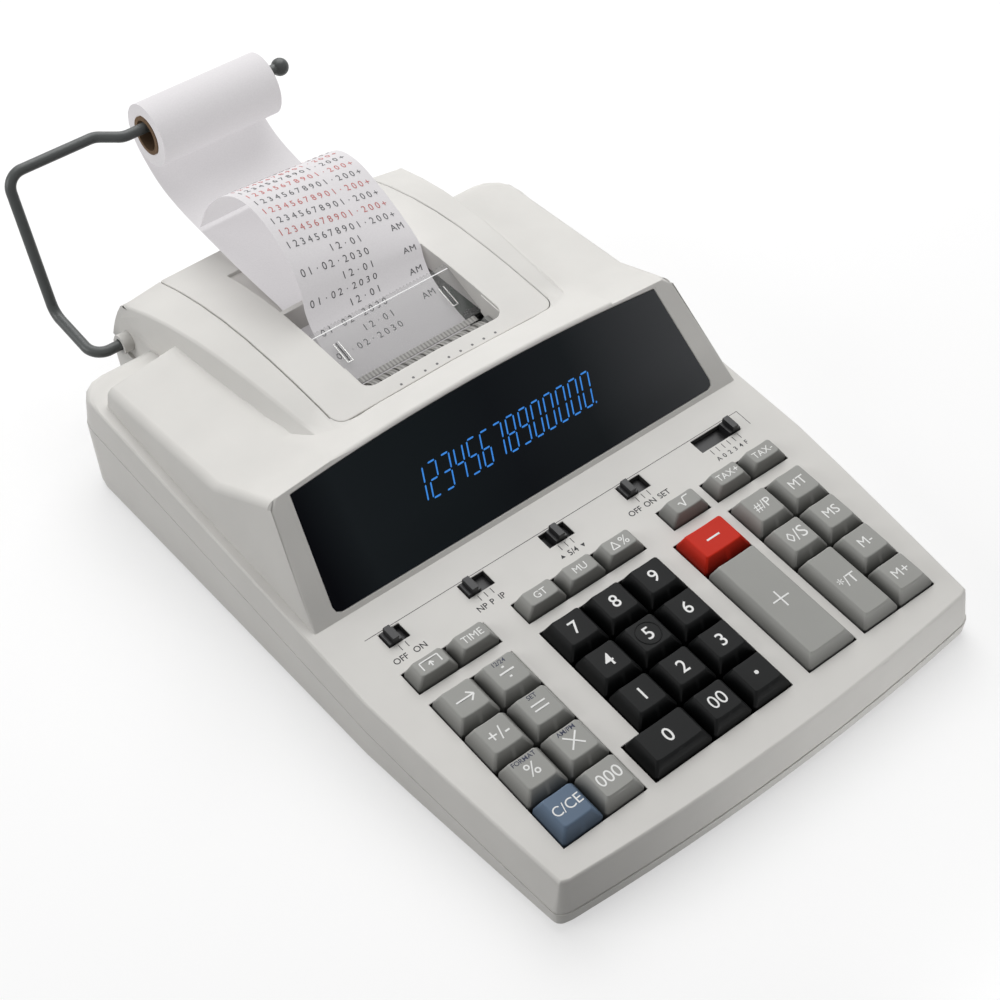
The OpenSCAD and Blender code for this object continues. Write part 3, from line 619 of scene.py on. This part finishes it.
# Each sign is drawn in straight strokes from (x, y) to (x, y) round the middle of the cap, in mm.
sign_strokes = {
    "key_back": [(-3.0, 0, 2.8, 0), (1.2, 1.6, 2.9, 0), (1.2, -1.6, 2.9, 0)],
    "key_feed": [(-3.0, -1.3, -3.0, 1.3), (-3.0, 1.3, 3.0, 1.3), (3.0, 1.3, 3.0, -1.3),
                 (0, -1.2, 0, 0.4), (-0.8, -0.4, 0, 0.5), (0.8, -0.4, 0, 0.5)],
    "key_root": [(-2.4, 0.1, -1.5, 0.3), (-1.5, 0.3, -0.6, -1.5), (-0.6, -1.5, 0.4, 1.6),
                 (0.4, 1.6, 2.4, 1.6)],
    "key_change": [(-3.0, -1.2, -1.7, 1.4), (-1.7, 1.4, -0.4, -1.2), (-3.0, -1.2, -0.4, -1.2)],
    "key_diamond": [(-3.2, 0, -2.1, 1.6), (-2.1, 1.6, -1.0, 0), (-1.0, 0, -2.1, -1.6), (-2.1, -1.6, -3.2, 0)],
    "key_plus": [(-3.0, 0, 3.0, 0), (0, -3.0, 0, 3.0)],
    "key_minus": [(-2.4, 0, 2.4, 0)],
    "key_multiply": [(-2.2, -2.2, 2.2, 2.2), (-2.2, 2.2, 2.2, -2.2)],
    "key_equals": [(-2.4, 0.9, 2.4, 0.9), (-2.4, -0.9, 2.4, -0.9)],
    "key_divide": [(-2.4, 0, 2.4, 0), (-0.4, 1.8, 0.4, 1.8), (-0.4, -1.8, 0.4, -1.8)],
    "key_point": [(-0.6, 0, 0.6, 0)],
}
sign_widths = {"key_feed": fine_stroke_w, "key_root": fine_stroke_w, "key_diamond": fine_stroke_w,
               "key_change": 0.00036, "key_minus": 1.2 * stroke_w, "key_divide": 1.1 * stroke_w,
               "key_point": point_w}
sign_letters = {"key_change": ("%", short_words_h, 0.0018), "key_diamond": ("/S", words_h, 0.0014)}


def joined(name, pieces):
    """some meshes as one"""
    bpy.ops.object.select_all(action="DESELECT")
    for piece in pieces:
        piece.select_set(True)
    bpy.context.view_layer.objects.active = pieces[0]
    if len(pieces) > 1:
        bpy.ops.object.join()
    pieces[0].name = name
    return pieces[0]


def lettering(words, height, bold=0.0):
    """a line of letters as a thin plate, centred on the origin"""
    sign = started(bpy.ops.object.text_add)
    sign.data.body = words
    sign.data.size = height / letter_share
    sign.data.offset = bold
    sign.data.extrude = ink_t / 2
    sign.data.resolution_u = 4
    bpy.ops.object.convert(target="MESH")
    bpy.ops.object.mode_set(mode="EDIT")
    bpy.ops.mesh.select_all(action="SELECT")
    bpy.ops.mesh.remove_doubles(threshold=hair / 2)
    bpy.ops.object.mode_set(mode="OBJECT")
    low, high = corners([v.co for v in sign.data.vertices])
    middle = (low + high) / 2
    sign.data.transform(Matrix.Translation((-middle.x, -middle.y, 0)))
    return sign


def strokes(lines, width, thick=ink_t, point=0.0):
    """a sign of straight strokes, each a bar from (x, y) to (x, y), with pointed ends where point is set"""
    bars = []
    for x0, y0, x1, y1 in lines:
        run = Vector((x1 - x0, y1 - y0, 0))
        bar = started(bpy.ops.mesh.primitive_cube_add, size=1, location=((x0 + x1) / 2, (y0 + y1) / 2, 0),
                      rotation=(0, 0, atan2(run.y, run.x)))
        bar.scale = (run.length, width, thick)
        bpy.ops.object.transform_apply(location=False, rotation=False, scale=True)
        if point:
            bpy.ops.object.mode_set(mode="EDIT")
            pick_edges(bar, lambda a, b: abs(a.z - b.z) > thick / 2)
            bpy.ops.mesh.bevel(offset=point, segments=1, affect="EDGES", clamp_overlap=True)
            bpy.ops.object.mode_set(mode="OBJECT")
        bpy.ops.object.transform_apply(location=True, rotation=True, scale=False)
        bars.append(bar)
    return joined("strokes", bars)


def sign_of(key):
    """a sign of strokes, with letters beside it where it has any"""
    lines = [[end * mm for end in line] for line in sign_strokes[key]]
    sign = strokes(lines, sign_widths.get(key, stroke_w), point=point_w / 4 if key == "key_point" else 0)
    if key in sign_letters:
        letters, height, aside = sign_letters[key]
        beside = lettering(letters, height)
        beside.data.transform(Matrix.Translation((aside, 0, 0)))
        sign = joined("sign", [sign, beside])
    sign.data.transform(Matrix.Diagonal((sign_scale, sign_scale, 1, 1)))
    return sign


def on_cap(piece, key, off=0.0, back=0.0):
    """lays a flat piece in the dish of a cap"""
    spot, top_w, _ = cap_tops[key]
    for v in piece.data.vertices:
        v.co = deck @ (spot + v.co + Vector((0, back, off - dish(v.co.x, top_w))))


legend_white = moulded("legend_white", (0.80, 0.80, 0.79), 0.5, 0.05, 4000)
legend_navy = moulded("legend_navy", (0.012, 0.016, 0.045), 0.5, 0.05, 4000)
for key in key_slots:
    if key in sign_strokes:
        legend = sign_of(key)
    elif key in key_words:
        legend = lettering(*key_words[key])
    else:
        legend = lettering(key[-1], figure_h, figure_bold)
    legend.name = "legend_" + key
    on_cap(legend, key, legend_lift)
    dress(legend, legend_white)
    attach(legend, key)
    if key in small_words:
        second = lettering(small_words[key], small_h, small_bold)
        second.name = "second_" + key
        on_cap(second, key, legend_lift, cap_tops[key][2] / 2 - small_back)
        dress(second, legend_navy)
        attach(second, key)

# Home mark: a fine raised ring round the middle figure, for the finger to find.
# It is moulded with the cap, in the same black plastic.
ring_r = 0.0048
ring_bead_r = 0.00026
home_ring = started(bpy.ops.mesh.primitive_torus_add, major_radius=ring_r, minor_radius=ring_bead_r,
                    major_segments=64, minor_segments=8)
home_ring.name = "home_ring"
on_cap(home_ring, "key_5")
soften(home_ring, 60)
dress(home_ring, key_finishes["key_black"])
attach(home_ring, "key_5")

# Slide switches: black moulded knobs with a grip ridge, on a shutter that closes the slot.
# They click between stops under the deck.
knob_edge = 0.00025
switch_black = moulded("switch_black_plastic", (0.012, 0.012, 0.013), 0.42, 0.1, 3000)
for switch in [s["node"] for s in frame["record"]["subparts"] if s["node"].startswith("switch_")]:
    knob = copy_of(switch, "knob_" + switch)
    round_edges(knob, knob_edge, 2)
    soften(knob)
    dress(knob, switch_black)
    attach(knob, switch)
    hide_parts(switch)

# Deck print: tick marks and short words in front of each switch, and the fine line that frames
# the switch row, screen printed in dark grey.
stop_pitch = 0.0029
tick_front = 0.1098
tick_back = 0.1124
tick_w = 0.000286
label_y = 0.1072
label_h = 0.0026
label_bold = 0.00003
figure_label_h = 0.0021
wedge_r = 0.0011
wedge_reach = 0.0049
line_w = 0.00022
line_left = -0.091
line_right = 0.092
line_y = 0.121
line_end_y = 0.113
print_grey = moulded("print_grey", (0.022, 0.022, 0.024), 0.6, 0.05, 4000)
switch_labels = {
    "switch_power": (("OFF", -0.0043), ("ON", 0.0042)),
    "switch_mode": (("NP", -0.0046), ("P", 0), ("IP", 0.0044)),
    "switch_rounding": (("5/4", 0),),
    "switch_total": (("OFF", -0.0074), ("ON", 0), ("SET", 0.0072)),
    "switch_decimal": tuple((figure, (i - 2.5) * stop_pitch) for i, figure in enumerate("A0234F")),
}
prints = []
for switch, labels in switch_labels.items():
    low, high = deck_box(switch)
    first, last = ((low.x + high.x) / 2 + limit for limit in joint_of(switch + "_slide")["range_m"])
    middle = (first + last) / 2
    for i in range(round((last - first) / stop_pitch) + 1):
        x = first + i * stop_pitch
        prints.append(strokes([(x, tick_front, x, tick_back)], tick_w))
    for label, aside in labels:
        sign = lettering(label, label_h if len(labels) < 4 else figure_label_h, label_bold)
        sign.data.transform(Matrix.Translation((middle + aside, label_y, 0)))
        prints.append(sign)
    if switch == "switch_rounding":
        for side, turn in ((-1, 0), (1, pi)):
            wedge = started(bpy.ops.mesh.primitive_cylinder_add, vertices=3, radius=wedge_r, depth=ink_t)
            wedge.data.transform(Matrix.Translation((middle + side * wedge_reach, label_y, 0))
                                 @ Matrix.Rotation(turn, 4, "Z"))
            prints.append(wedge)
prints.append(strokes([(line_left, line_y, line_right, line_y), (line_right, line_y, line_right, line_end_y)],
                      line_w))
deck_print = joined("deck_print", prints)
deck_print.data.transform(deck @ Matrix.Translation((0, 0, legend_lift)))
dress(deck_print, print_grey)
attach(deck_print, "base")

# Display: a smoked acrylic window set flush in the sloping face, with an indicator tube behind it.
# The lit figures are slanted seven-bar digits in blue.
shown = "12345678900000"
digit_pitch = 0.0062
digit_first = -0.0405
digit_half_w = 0.0019
digit_half_h = 0.0062
digit_middle = 0.0268
digit_slant = 0.30
bar_w = 0.00062
bar_gap = 0.00038
point_aside = 0.0014
point_low = 0.0003
point_high = 0.0006
window_half = 0.0928
# The window's colour: the near black of the smoked acrylic with a painted sheen from the room, as stops
# across its width.
window_smoke_and_sheen = ((0.02, (0.0015, 0.0020, 0.0042)), (0.12, (0.0150, 0.0195, 0.0230)),
                (0.34, (0.0110, 0.0155, 0.0185)), (0.50, (0.0088, 0.0112, 0.0145)),
                (0.70, (0.0160, 0.0195, 0.0225)), (0.98, (0.0780, 0.0810, 0.0860)))
bar_table = {"0": "abcdef", "1": "bc", "2": "abged", "3": "abgcd", "4": "fgbc", "5": "afgcd", "6": "afgedc",
             "7": "abc", "8": "abcdefg", "9": "abcdfg"}


def cloudy_gloss(tree, surface, scale, low, high):
    """roughness that drifts between two values"""
    where = add(tree, "TexCoord")
    cloud = add(tree, "TexNoise", {"Scale": scale, "Detail": 2})
    gloss = add(tree, "MapRange", {"To Min": low, "To Max": high})
    wire(tree, (where, "Object", cloud, "Vector"), (cloud, "Fac", gloss, "Value"),
         (gloss, 0, surface, "Roughness"))


def smoked_window():
    """nearly black smoked acrylic, with a painted sheen from the room across it, weakest at the left end and
    in the middle
    """
    finish, tree, surface = finish_of("smoked_window")
    where = add(tree, "TexCoord")
    axes = add(tree, "SeparateXYZ")
    across = add(tree, "MapRange", {"From Min": -window_half, "From Max": window_half})
    tint = ramp(tree, *window_smoke_and_sheen)
    wire(tree, (where, "Object", axes, 0), (axes, "X", across, "Value"), (across, 0, tint, "Fac"),
         (tint, "Color", surface, "Base Color"))
    cloudy_gloss(tree, surface, 60, 0.06, 0.12)
    fix(surface, {"Specular IOR Level": 0.03})
    return finish


def lit_blue():
    finish, tree, surface = finish_of("lit_blue")
    where = add(tree, "TexCoord")
    cloud = add(tree, "TexNoise", {"Scale": 900, "Detail": 1})
    glow = ramp(tree, (0, (0.004, 0.130, 0.520)), (1, (0.020, 0.250, 0.760)))
    wire(tree, (where, "Object", cloud, "Vector"), (cloud, "Fac", glow, "Fac"),
         (glow, "Color", surface, "Emission Color"))
    fix(surface, {"Emission Strength": 1.0, "Base Color": (0.01, 0.03, 0.06, 1)})
    return finish


def bars_of(figure):
    """the lit bars of a figure, each from (x, y) to (x, y) round its middle"""
    w, h, g = digit_half_w, digit_half_h, bar_gap
    ends = {"a": (-w + g, h, w - g, h), "g": (-w + g, 0, w - g, 0), "d": (-w + g, -h, w - g, -h),
            "b": (w, g, w, h - g), "c": (w, -h + g, w, -g),
            "f": (-w, g, -w, h - g), "e": (-w, -h + g, -w, -g)}
    return [ends[bar] for bar in bar_table[figure]]


dress(solids["display_window"], smoked_window())
dress(solids["display_tube"], moulded("tube_glass", (0.010, 0.016, 0.018), 0.15, 0.03, 400))
lines = []
for i, figure in enumerate(shown):
    centre = digit_first + i * digit_pitch
    lines += [(x0 + centre, y0, x1 + centre, y1) for x0, y0, x1, y1 in bars_of(figure)]
point_x = centre + digit_half_w + point_aside
lines.append((point_x, -digit_half_h - point_low, point_x, -digit_half_h + point_high))
figures = strokes(lines, bar_w, point=bar_w * 0.45)
figures.name = "lit_figures"
for v in figures.data.vertices:
    v.co = face @ Vector((v.co.x + digit_slant * v.co.y, digit_middle + v.co.y, legend_lift + v.co.z))
dress(figures, lit_blue())
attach(figures, "base")

# Printer: a grey moulded frame with a motor, a ribbed type drum, a rubber platen and an ink roller.
# Only their tops show through the paper opening.
type_pitch = 0.00165
# A wave pattern of scale 1 turns through this angle in a metre.
wave_radians = 20


def type_rings():
    """grey moulded plastic with painted shade in the gap at each side of every row of types"""
    finish, tree, surface = finish_of("type_rings")
    where = add(tree, "TexCoord")
    rings = add(tree, "TexWave", {"Scale": 2 * pi / wave_radians / type_pitch}, bands_direction="X")
    tint = ramp(tree, (0.25, (0.140, 0.136, 0.128)), (0.6, (0.250, 0.244, 0.230)))
    bump = add(tree, "Bump", {"Strength": 0.5, "Distance": 0.0002})
    wire(tree, (where, "Object", rings, "Vector"), (rings, "Fac", tint, "Fac"),
         (tint, "Color", surface, "Base Color"), (rings, "Fac", bump, "Height"),
         (bump, "Normal", surface, "Normal"))
    fix(surface, {"Roughness": 0.5})
    return finish


def turned_brass():
    """brass with the fine rings that a lathe leaves"""
    finish, tree, surface = finish_of("turned_brass")
    where = add(tree, "TexCoord")
    lathe = add(tree, "TexWave", {"Scale": 900, "Distortion": 0.4}, bands_direction="X")
    gloss = add(tree, "MapRange", {"To Min": 0.22, "To Max": 0.40})
    bump = add(tree, "Bump", {"Strength": 0.15, "Distance": 0.00005})
    wire(tree, (where, "Object", lathe, "Vector"), (lathe, "Fac", gloss, "Value"),
         (gloss, 0, surface, "Roughness"), (lathe, "Fac", bump, "Height"),
         (bump, "Normal", surface, "Normal"))
    fix(surface, {"Base Color": (0.62, 0.45, 0.17, 1), "Metallic": 1.0})
    return finish


ring_plastic = type_rings()
dress(solids["printer_frame"], moulded("printer_plastic_grey", (0.300, 0.302, 0.292), 0.5, 0.15, 1800))
dress(solids["type_drum"], ring_plastic)
dress(solids["platen"], moulded("platen_rubber", (0.020, 0.020, 0.020), 0.75, 0.25, 1400))
dress(solids["ink_roller"], moulded("ink_felt", (0.020, 0.016, 0.050), 0.85, 0.5, 900))
dress(solids["motor_pinion"], turned_brass())

# Key board: a green laminate board, and on it a grey silicone mat with a dome under every key.
# Both lie in the case below the deck, which hides them.
dress(solids["circuit_board"], moulded("laminate_green", (0.012, 0.100, 0.040), 0.4, 0.1, 1200))
dress(solids["key_mat"], moulded("silicone_grey", (0.075, 0.075, 0.080), 0.7, 0.1, 1200))

# Printer cover: a lift-off lid in the case plastic with the paper opening, its bar and the inlet tray.
# Nine small dots mark the columns on the front lip.
lid_edge = 0.0006
lid_dots = 9
dot_y = 0.1866
dot_first = -0.0217
dot_last = 0.0238
dot_r = 0.00055
over_lid = 0.2
lid = copy_of("printer_cover", "lid")
round_edges(lid, lid_edge, 2, sharp=40)
soften(lid)
dress(lid, case_plastic)
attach(lid, "cover")
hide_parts("printer_cover")
skin = bmesh.new()
skin.from_mesh(lid.data)
lid_skin = BVHTree.FromBMesh(skin)
skin.free()
dots = []
for i in range(lid_dots):
    x = dot_first + (dot_last - dot_first) * i / (lid_dots - 1)
    spot, way, _, _ = lid_skin.ray_cast(Vector((x, front_y + dot_y, over_lid)), Vector((0, 0, -1)))
    dot = started(bpy.ops.mesh.primitive_cylinder_add, vertices=20, radius=dot_r, depth=2 * ink_t)
    round_edges(dot, ink_t / 2, 1)
    dot.data.transform(Matrix.Translation(spot) @ way.to_track_quat("Z", "Y").to_matrix().to_4x4())
    dots.append(dot)
column_dots = joined("column_dots", dots)
dress(column_dots, moulded("dot_grey", (0.150, 0.150, 0.150), 0.6, 0.05, 4000))
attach(column_dots, "cover")

# Tear bar: a clear acrylic plate across the opening, cut with a fine saw edge along its top.
# A ridge below the saw edge glows white, a painted highlight for the light that gathers in the cut edge; the
# plate hangs in the cover.
ridge = [(227.2, 68.95), (227.6, 69.11), (227.5, 69.36), (227.1, 69.20)]
ridge_half = 0.0330
ridge_edge = 0.00006


def acrylic(name, colour, cover, rough, glow=0.0):
    """clear plastic that covers what is behind it by a share"""
    finish, tree, surface = finish_of(name)
    cloudy_gloss(tree, surface, 120, rough, rough + 0.06)
    fix(surface, {"Base Color": colour, "Alpha": cover, "IOR": 1.49, "Specular IOR Level": 0.3,
                  "Emission Color": colour, "Emission Strength": glow})
    return finish


def slab(name, outline, x0, x1, edge):
    """a plate across x, its outline given by distances behind the front edge and heights, in mm"""
    piece = started(bpy.ops.mesh.primitive_circle_add, vertices=len(outline), fill_type="NGON")
    piece.name = name
    for v, (y, z) in zip(piece.data.vertices, outline):
        v.co = (x0, front_y + y * mm, z * mm)
    bpy.ops.object.mode_set(mode="EDIT")
    bpy.ops.mesh.select_all(action="SELECT")
    bpy.ops.mesh.extrude_region_move(TRANSFORM_OT_translate={"value": (x1 - x0, 0, 0)})
    bpy.ops.mesh.select_all(action="SELECT")
    bpy.ops.mesh.normals_make_consistent(inside=False)
    bpy.ops.object.mode_set(mode="OBJECT")
    round_edges(piece, edge, 2)
    soften(piece)
    return piece


bar = copy_of("tear_bar", "tear_plate")
dress(bar, acrylic("clear_acrylic", (0.36, 0.36, 0.355, 1), 0.16, 0.10))
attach(bar, "cover")
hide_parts("tear_bar")
# The ridge glows as a painted highlight along the saw edge.
tear_ridge = slab("tear_ridge", ridge, -ridge_half, ridge_half, ridge_edge)
dress(tear_ridge, acrylic("acrylic_painted_glow", (0.78, 0.78, 0.78, 1), 1.0, 0.4, 0.32))
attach(tear_ridge, "cover")

# Cheeks: two thin upright plates that close the front of the opening's sides.
# They are moulded with the cover, in the case plastic.
cheek = [(195.0, 58.6), (202.6, 58.6), (206.5, 60.4), (206.5, 69.0), (195.0, 68.1)]
cheek_inside = 0.03285
cheek_outside = 0.03335
trim_edge = 0.0001
for side, name in ((-1, "cheek_left"), (1, "cheek_right")):
    plate = slab(name, cheek, side * cheek_inside, side * cheek_outside, trim_edge)
    dress(plate, case_plastic)
    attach(plate, "cover")

# Type guide: a ribbed lip behind the type drum that keeps the paper off it.
# It is moulded in the drum's grey plastic and clipped in the printer frame.
lip = [(202.6, 61.1), (205.4, 61.5), (205.3, 61.9), (202.5, 61.5)]
lip_half = 0.0285
guide = slab("type_guide", lip, -lip_half, lip_half, trim_edge)
dress(guide, ring_plastic)
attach(guide, "base")

# Paper fingers: two sprung loops of bright steel wire over dark pads that hold the tape's edges down.
# They are fixed in the printer behind the type guide.
finger_places = (-0.0232, 0.0286)
finger_half_w = 0.0012
finger_l = 0.0098
finger_foot = (216.8, 59.6)
finger_slope = radians(17)
wire_w = 0.00045
wire_edge = 0.00014
pad_front = 0.0006
pad_w = 0.0007
pad_t = 0.0003


def spring_steel():
    finish, tree, surface = finish_of("spring_steel")
    cloudy_gloss(tree, surface, 700, 0.25, 0.45)
    fix(surface, {"Base Color": (0.64, 0.64, 0.62, 1), "Metallic": 1.0})
    return finish


loop = strokes([(-finger_half_w, 0, -finger_half_w, finger_l), (finger_half_w, 0, finger_half_w, finger_l),
                (-finger_half_w - wire_w / 2, 0, finger_half_w + wire_w / 2, 0)], wire_w, wire_w)
round_edges(loop, wire_edge, 2)
soften(loop)
dress(loop, spring_steel())
pad = strokes([(0, pad_front, 0, finger_l)], pad_w, pad_t)
round_edges(pad, trim_edge, 2)
soften(pad)
dress(pad, switch_black)
for x, side in zip(finger_places, ("left", "right")):
    seat = Matrix.Translation((x, front_y + finger_foot[0] * mm, finger_foot[1] * mm))
    seat = seat @ Matrix.Rotation(finger_slope, 4, "X")
    for model, name in ((loop, "finger_loop_"), (pad, "finger_pad_")):
        finger = own_copy(model, name + side)
        finger.data.transform(seat)
        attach(finger, "base")
for model in (loop, pad):
    bpy.data.objects.remove(model)

# Roll arm: one bent steel wire with a dark grey coat and a ball on its tip.
# Its lower end is hinged through both side walls of the printer housing.
arm = copy_of("paper_arm", "wire_arm")
soften(arm, 50)
dress(arm, moulded("arm_coat", (0.075, 0.081, 0.080), 0.36, 0.2, 1600))
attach(arm, "arm")
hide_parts("paper_arm")

# Paper roll: white uncoated paper wound on a card core, its edges showing as fine rings.
# The paper glows in its own colour, a painted light for what thin paper lets through; the glow is weaker
# lower in the opening, a painted shade inside the case.
painted_glow = 1.3
painted_glow_inside = 0.5 * painted_glow
glow_low = 0.054
glow_high = 0.066
bore_r = 0.00825
turn_t = 0.0004
turn_step = 0.00007


def paper_finish(name, colour):
    """paper with fine fibres and a painted glow for the light it lets through, weaker lower in the opening as
    painted shade
    """
    finish, tree, surface = finish_of(name)
    where = add(tree, "TexCoord")
    fibre = add(tree, "TexNoise", {"Scale": 1500, "Detail": 4})
    tint = ramp(tree, (0.3, shaded(colour, 0.965)), (0.7, shaded(colour, 1.01)))
    bump = add(tree, "Bump", {"Strength": 0.08, "Distance": 0.00005})
    axes = add(tree, "SeparateXYZ")
    light = add(tree, "MapRange", {"From Min": glow_low, "From Max": glow_high,
                                   "To Min": painted_glow_inside, "To Max": painted_glow})
    wire(tree, (where, "Object", fibre, "Vector"), (fibre, "Fac", tint, "Fac"),
         (tint, "Color", surface, "Base Color"), (tint, "Color", surface, "Emission Color"),
         (fibre, "Fac", bump, "Height"), (bump, "Normal", surface, "Normal"),
         (where, "Object", axes, 0), (axes, "Z", light, "Value"), (light, 0, surface, "Emission Strength"))
    fix(surface, {"Roughness": 0.85, "Specular IOR Level": 0.2})
    return finish


paper_white = paper_finish("paper_white", (0.330, 0.321, 0.327))
roll_low, roll_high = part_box("paper_roll")
roll_mid = (roll_low + roll_high) / 2
roll_r = (roll_high.z - roll_low.z) / 2
paper_w = roll_high.x - roll_low.x
roll = started(bpy.ops.mesh.primitive_cylinder_add, vertices=128, radius=roll_r, depth=paper_w,
               location=roll_mid, rotation=(0, pi / 2, 0))
bpy.ops.object.transform_apply(location=True, rotation=True, scale=True)
roll.name = "wound_roll"
bpy.ops.object.mode_set(mode="EDIT")
pick_faces(roll, lambda f: abs(f.normal.x) > 0.9)
for turn in range(int((roll_r - bore_r) / turn_t)):
    bpy.ops.mesh.inset(thickness=turn_t, depth=turn_step if turn % 2 else -turn_step)
bpy.ops.mesh.bridge_edge_loops()
bpy.ops.object.mode_set(mode="OBJECT")
soften(roll, 30)
dress(roll, paper_white)
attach(roll, "roll")
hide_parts("paper_roll")
dress(solids["roll_core"], moulded("core_card", (0.190, 0.120, 0.070), 0.85, 0.4, 700))

# Paper web: the paper's run from the roll over the cover and down its inlet, round the platen.
# It is loose paper, held by the roll at one end and the printer at the other.
paper_half = paper_w / 2
paper_t = 0.00012
wrap_r = 8.45
wrap_start = -70
wrap_sweep = 184.7
wrap_steps = 7
wrap_split = 3
leave_off = 0.2
leave_angles = (20, -10, -40)


def spline(points, steps=8):
    """a smooth line through the points"""
    line = []
    for i in range(len(points) - 1):
        a, b, c, d = (points[min(max(j, 0), len(points) - 1)] for j in (i - 1, i, i + 1, i + 2))
        for step in range(steps):
            t = step / steps
            line.append(0.5 * (2 * b + (c - a) * t + (2 * a - 5 * b + 4 * c - d) * t * t
                               + (3 * b - 3 * c + d - a) * t * t * t))
    return line + [points[-1]]


def route(x, places):
    """points on one edge of the paper from their distance behind the front edge and their height, in mm"""
    return [Vector((x, front_y + y * mm, z * mm)) for y, z in places]


def round_of(middle, r, angles):
    """places on a circle seen from the side, in mm"""
    return [(middle[0] + r * cos(radians(a)), middle[1] + r * sin(radians(a))) for a in angles]


class Strip:
    """a strip of paper between a left and a right edge line"""

    def __init__(self, left, right):
        self.left, self.right = spline(left), spline(right)
        self.runs = [0]
        middle = [(a + b) / 2 for a, b in zip(self.left, self.right)]
        for a, b in zip(middle, middle[1:]):
            self.runs.append(self.runs[-1] + (b - a).length)
        self.length = self.runs[-1]

    def edges(self, run):
        i = min(max(bisect_right(self.runs, run) - 1, 0), len(self.runs) - 2)
        t = (run - self.runs[i]) / (self.runs[i + 1] - self.runs[i])
        return self.left[i].lerp(self.left[i + 1], t), self.right[i].lerp(self.right[i + 1], t)

    def at(self, across, run, off=0.0):
        left, right = self.edges(run)
        spot = left.lerp(right, (across + paper_half) / paper_w)
        if not off:
            return spot
        step = 0.0005
        before, after = self.edges(max(run - step, 0)), self.edges(min(run + step, self.length))
        along = (after[0] + after[1]) - (before[0] + before[1])
        return spot + (right - left).cross(along).normalized() * off

    def sheet(self, name, columns, rows):
        piece = started(bpy.ops.mesh.primitive_grid_add, x_subdivisions=columns, y_subdivisions=rows, size=1)
        piece.name = name
        for v in piece.data.vertices:
            v.co = self.at(v.co.x * paper_w, (v.co.y + 0.5) * self.length)
        wall = piece.modifiers.new("thickness", "SOLIDIFY")
        wall.thickness = paper_t
        wall.offset = 0
        bpy.ops.object.modifier_apply(modifier="thickness")
        soften(piece, 60)
        return piece


platen_low, platen_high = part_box("platen")
platen_mid = (platen_low + platen_high) / 2
wrap = round_of(((platen_mid.y - front_y) / mm, platen_mid.z / mm), wrap_r,
                [wrap_start - i * wrap_sweep / wrap_steps for i in range(wrap_steps + 1)])
web_places = round_of(((roll_mid.y - front_y) / mm, roll_mid.z / mm), roll_r / mm + leave_off, leave_angles)
web_places += [(346, 80.3), (336, 74.2), (322, 70.4), (304, 68), (285, 66.0), (268, 64.8), (255.5, 64.1),
               (251.9, 62.0), (251.3, 57.2), (249.8, 53.4), (244.5, 50.2), (236, 47.3), (223.4, 42.8)]
web_places += wrap[:wrap_split + 1]
web = Strip(route(-paper_half, web_places), route(paper_half, web_places))
paper_web = web.sheet("paper_run", 8, 120)
dress(paper_web, paper_white)
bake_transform(paper_web)
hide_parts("paper_web")

# Printed tape: the paper that has come up through the opening in one loose, slightly twisted curl.
# Rows of figures are printed across it, in dark grey and red by turns.
rise = [(216, 57.3), (225.6, 60.6), (232.6, 65.2)]
left_curl = [(237.4, 72.8), (239.8, 83.2), (247, 93.6), (260.5, 102.6), (275.5, 104.4), (289.5, 98.0),
             (302.0, 85.2), (309.8, 70.6)]
right_curl = [(236.6, 71.0), (239.0, 76.8), (247.2, 82.6), (262.0, 89.4), (277.5, 94.2), (291.5, 92.0),
              (303.5, 82.0), (310.8, 70.2)]
row_pitch = 0.0056
row_h = 0.0030
first_row = 0.030
figure_pitch = 0.0033
figure_columns = 16
date_rows = 8
sum_rows = 12
print_lift = 0.0002
way_up = wrap[wrap_split:] + rise
tape_line = Strip(route(-paper_half, way_up + left_curl), route(paper_half, way_up + right_curl))
tape = tape_line.sheet("printed_tape", 24, 140)
dress(tape, paper_white)
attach(tape, "base")
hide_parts("paper_web")

dark_ink = moulded("dark_ink", (0.125, 0.125, 0.132), 0.8, 0.1, 2500)
red_ink = moulded("red_ink", (0.560, 0.180, 0.170), 0.8, 0.1, 2500)
tape_rows = [("     12.01    AM" if i % 2 else "01.02.2030", dark_ink) for i in range(date_rows)]
tape_rows += [("12345678901.200+", red_ink if i % 2 else dark_ink) for i in range(sum_rows)]
for ink in (dark_ink, red_ink):
    printed = []
    for i, (text, row_ink) in enumerate(tape_rows):
        row = first_row + i * row_pitch
        if row_ink is not ink or row + row_pitch > tape_line.length:
            continue
        for j, letter in enumerate(text):
            if letter == " ":
                continue
            sign = lettering(letter, row_h)
            across = (j - (figure_columns - 1) / 2) * figure_pitch
            for v in sign.data.vertices:
                v.co = tape_line.at(across + v.co.x, row + v.co.y, print_lift + v.co.z)
            printed.append(sign)
    rows_print = joined("tape_print_" + ink.name, printed)
    dress(rows_print, ink)
    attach(rows_print, "base")
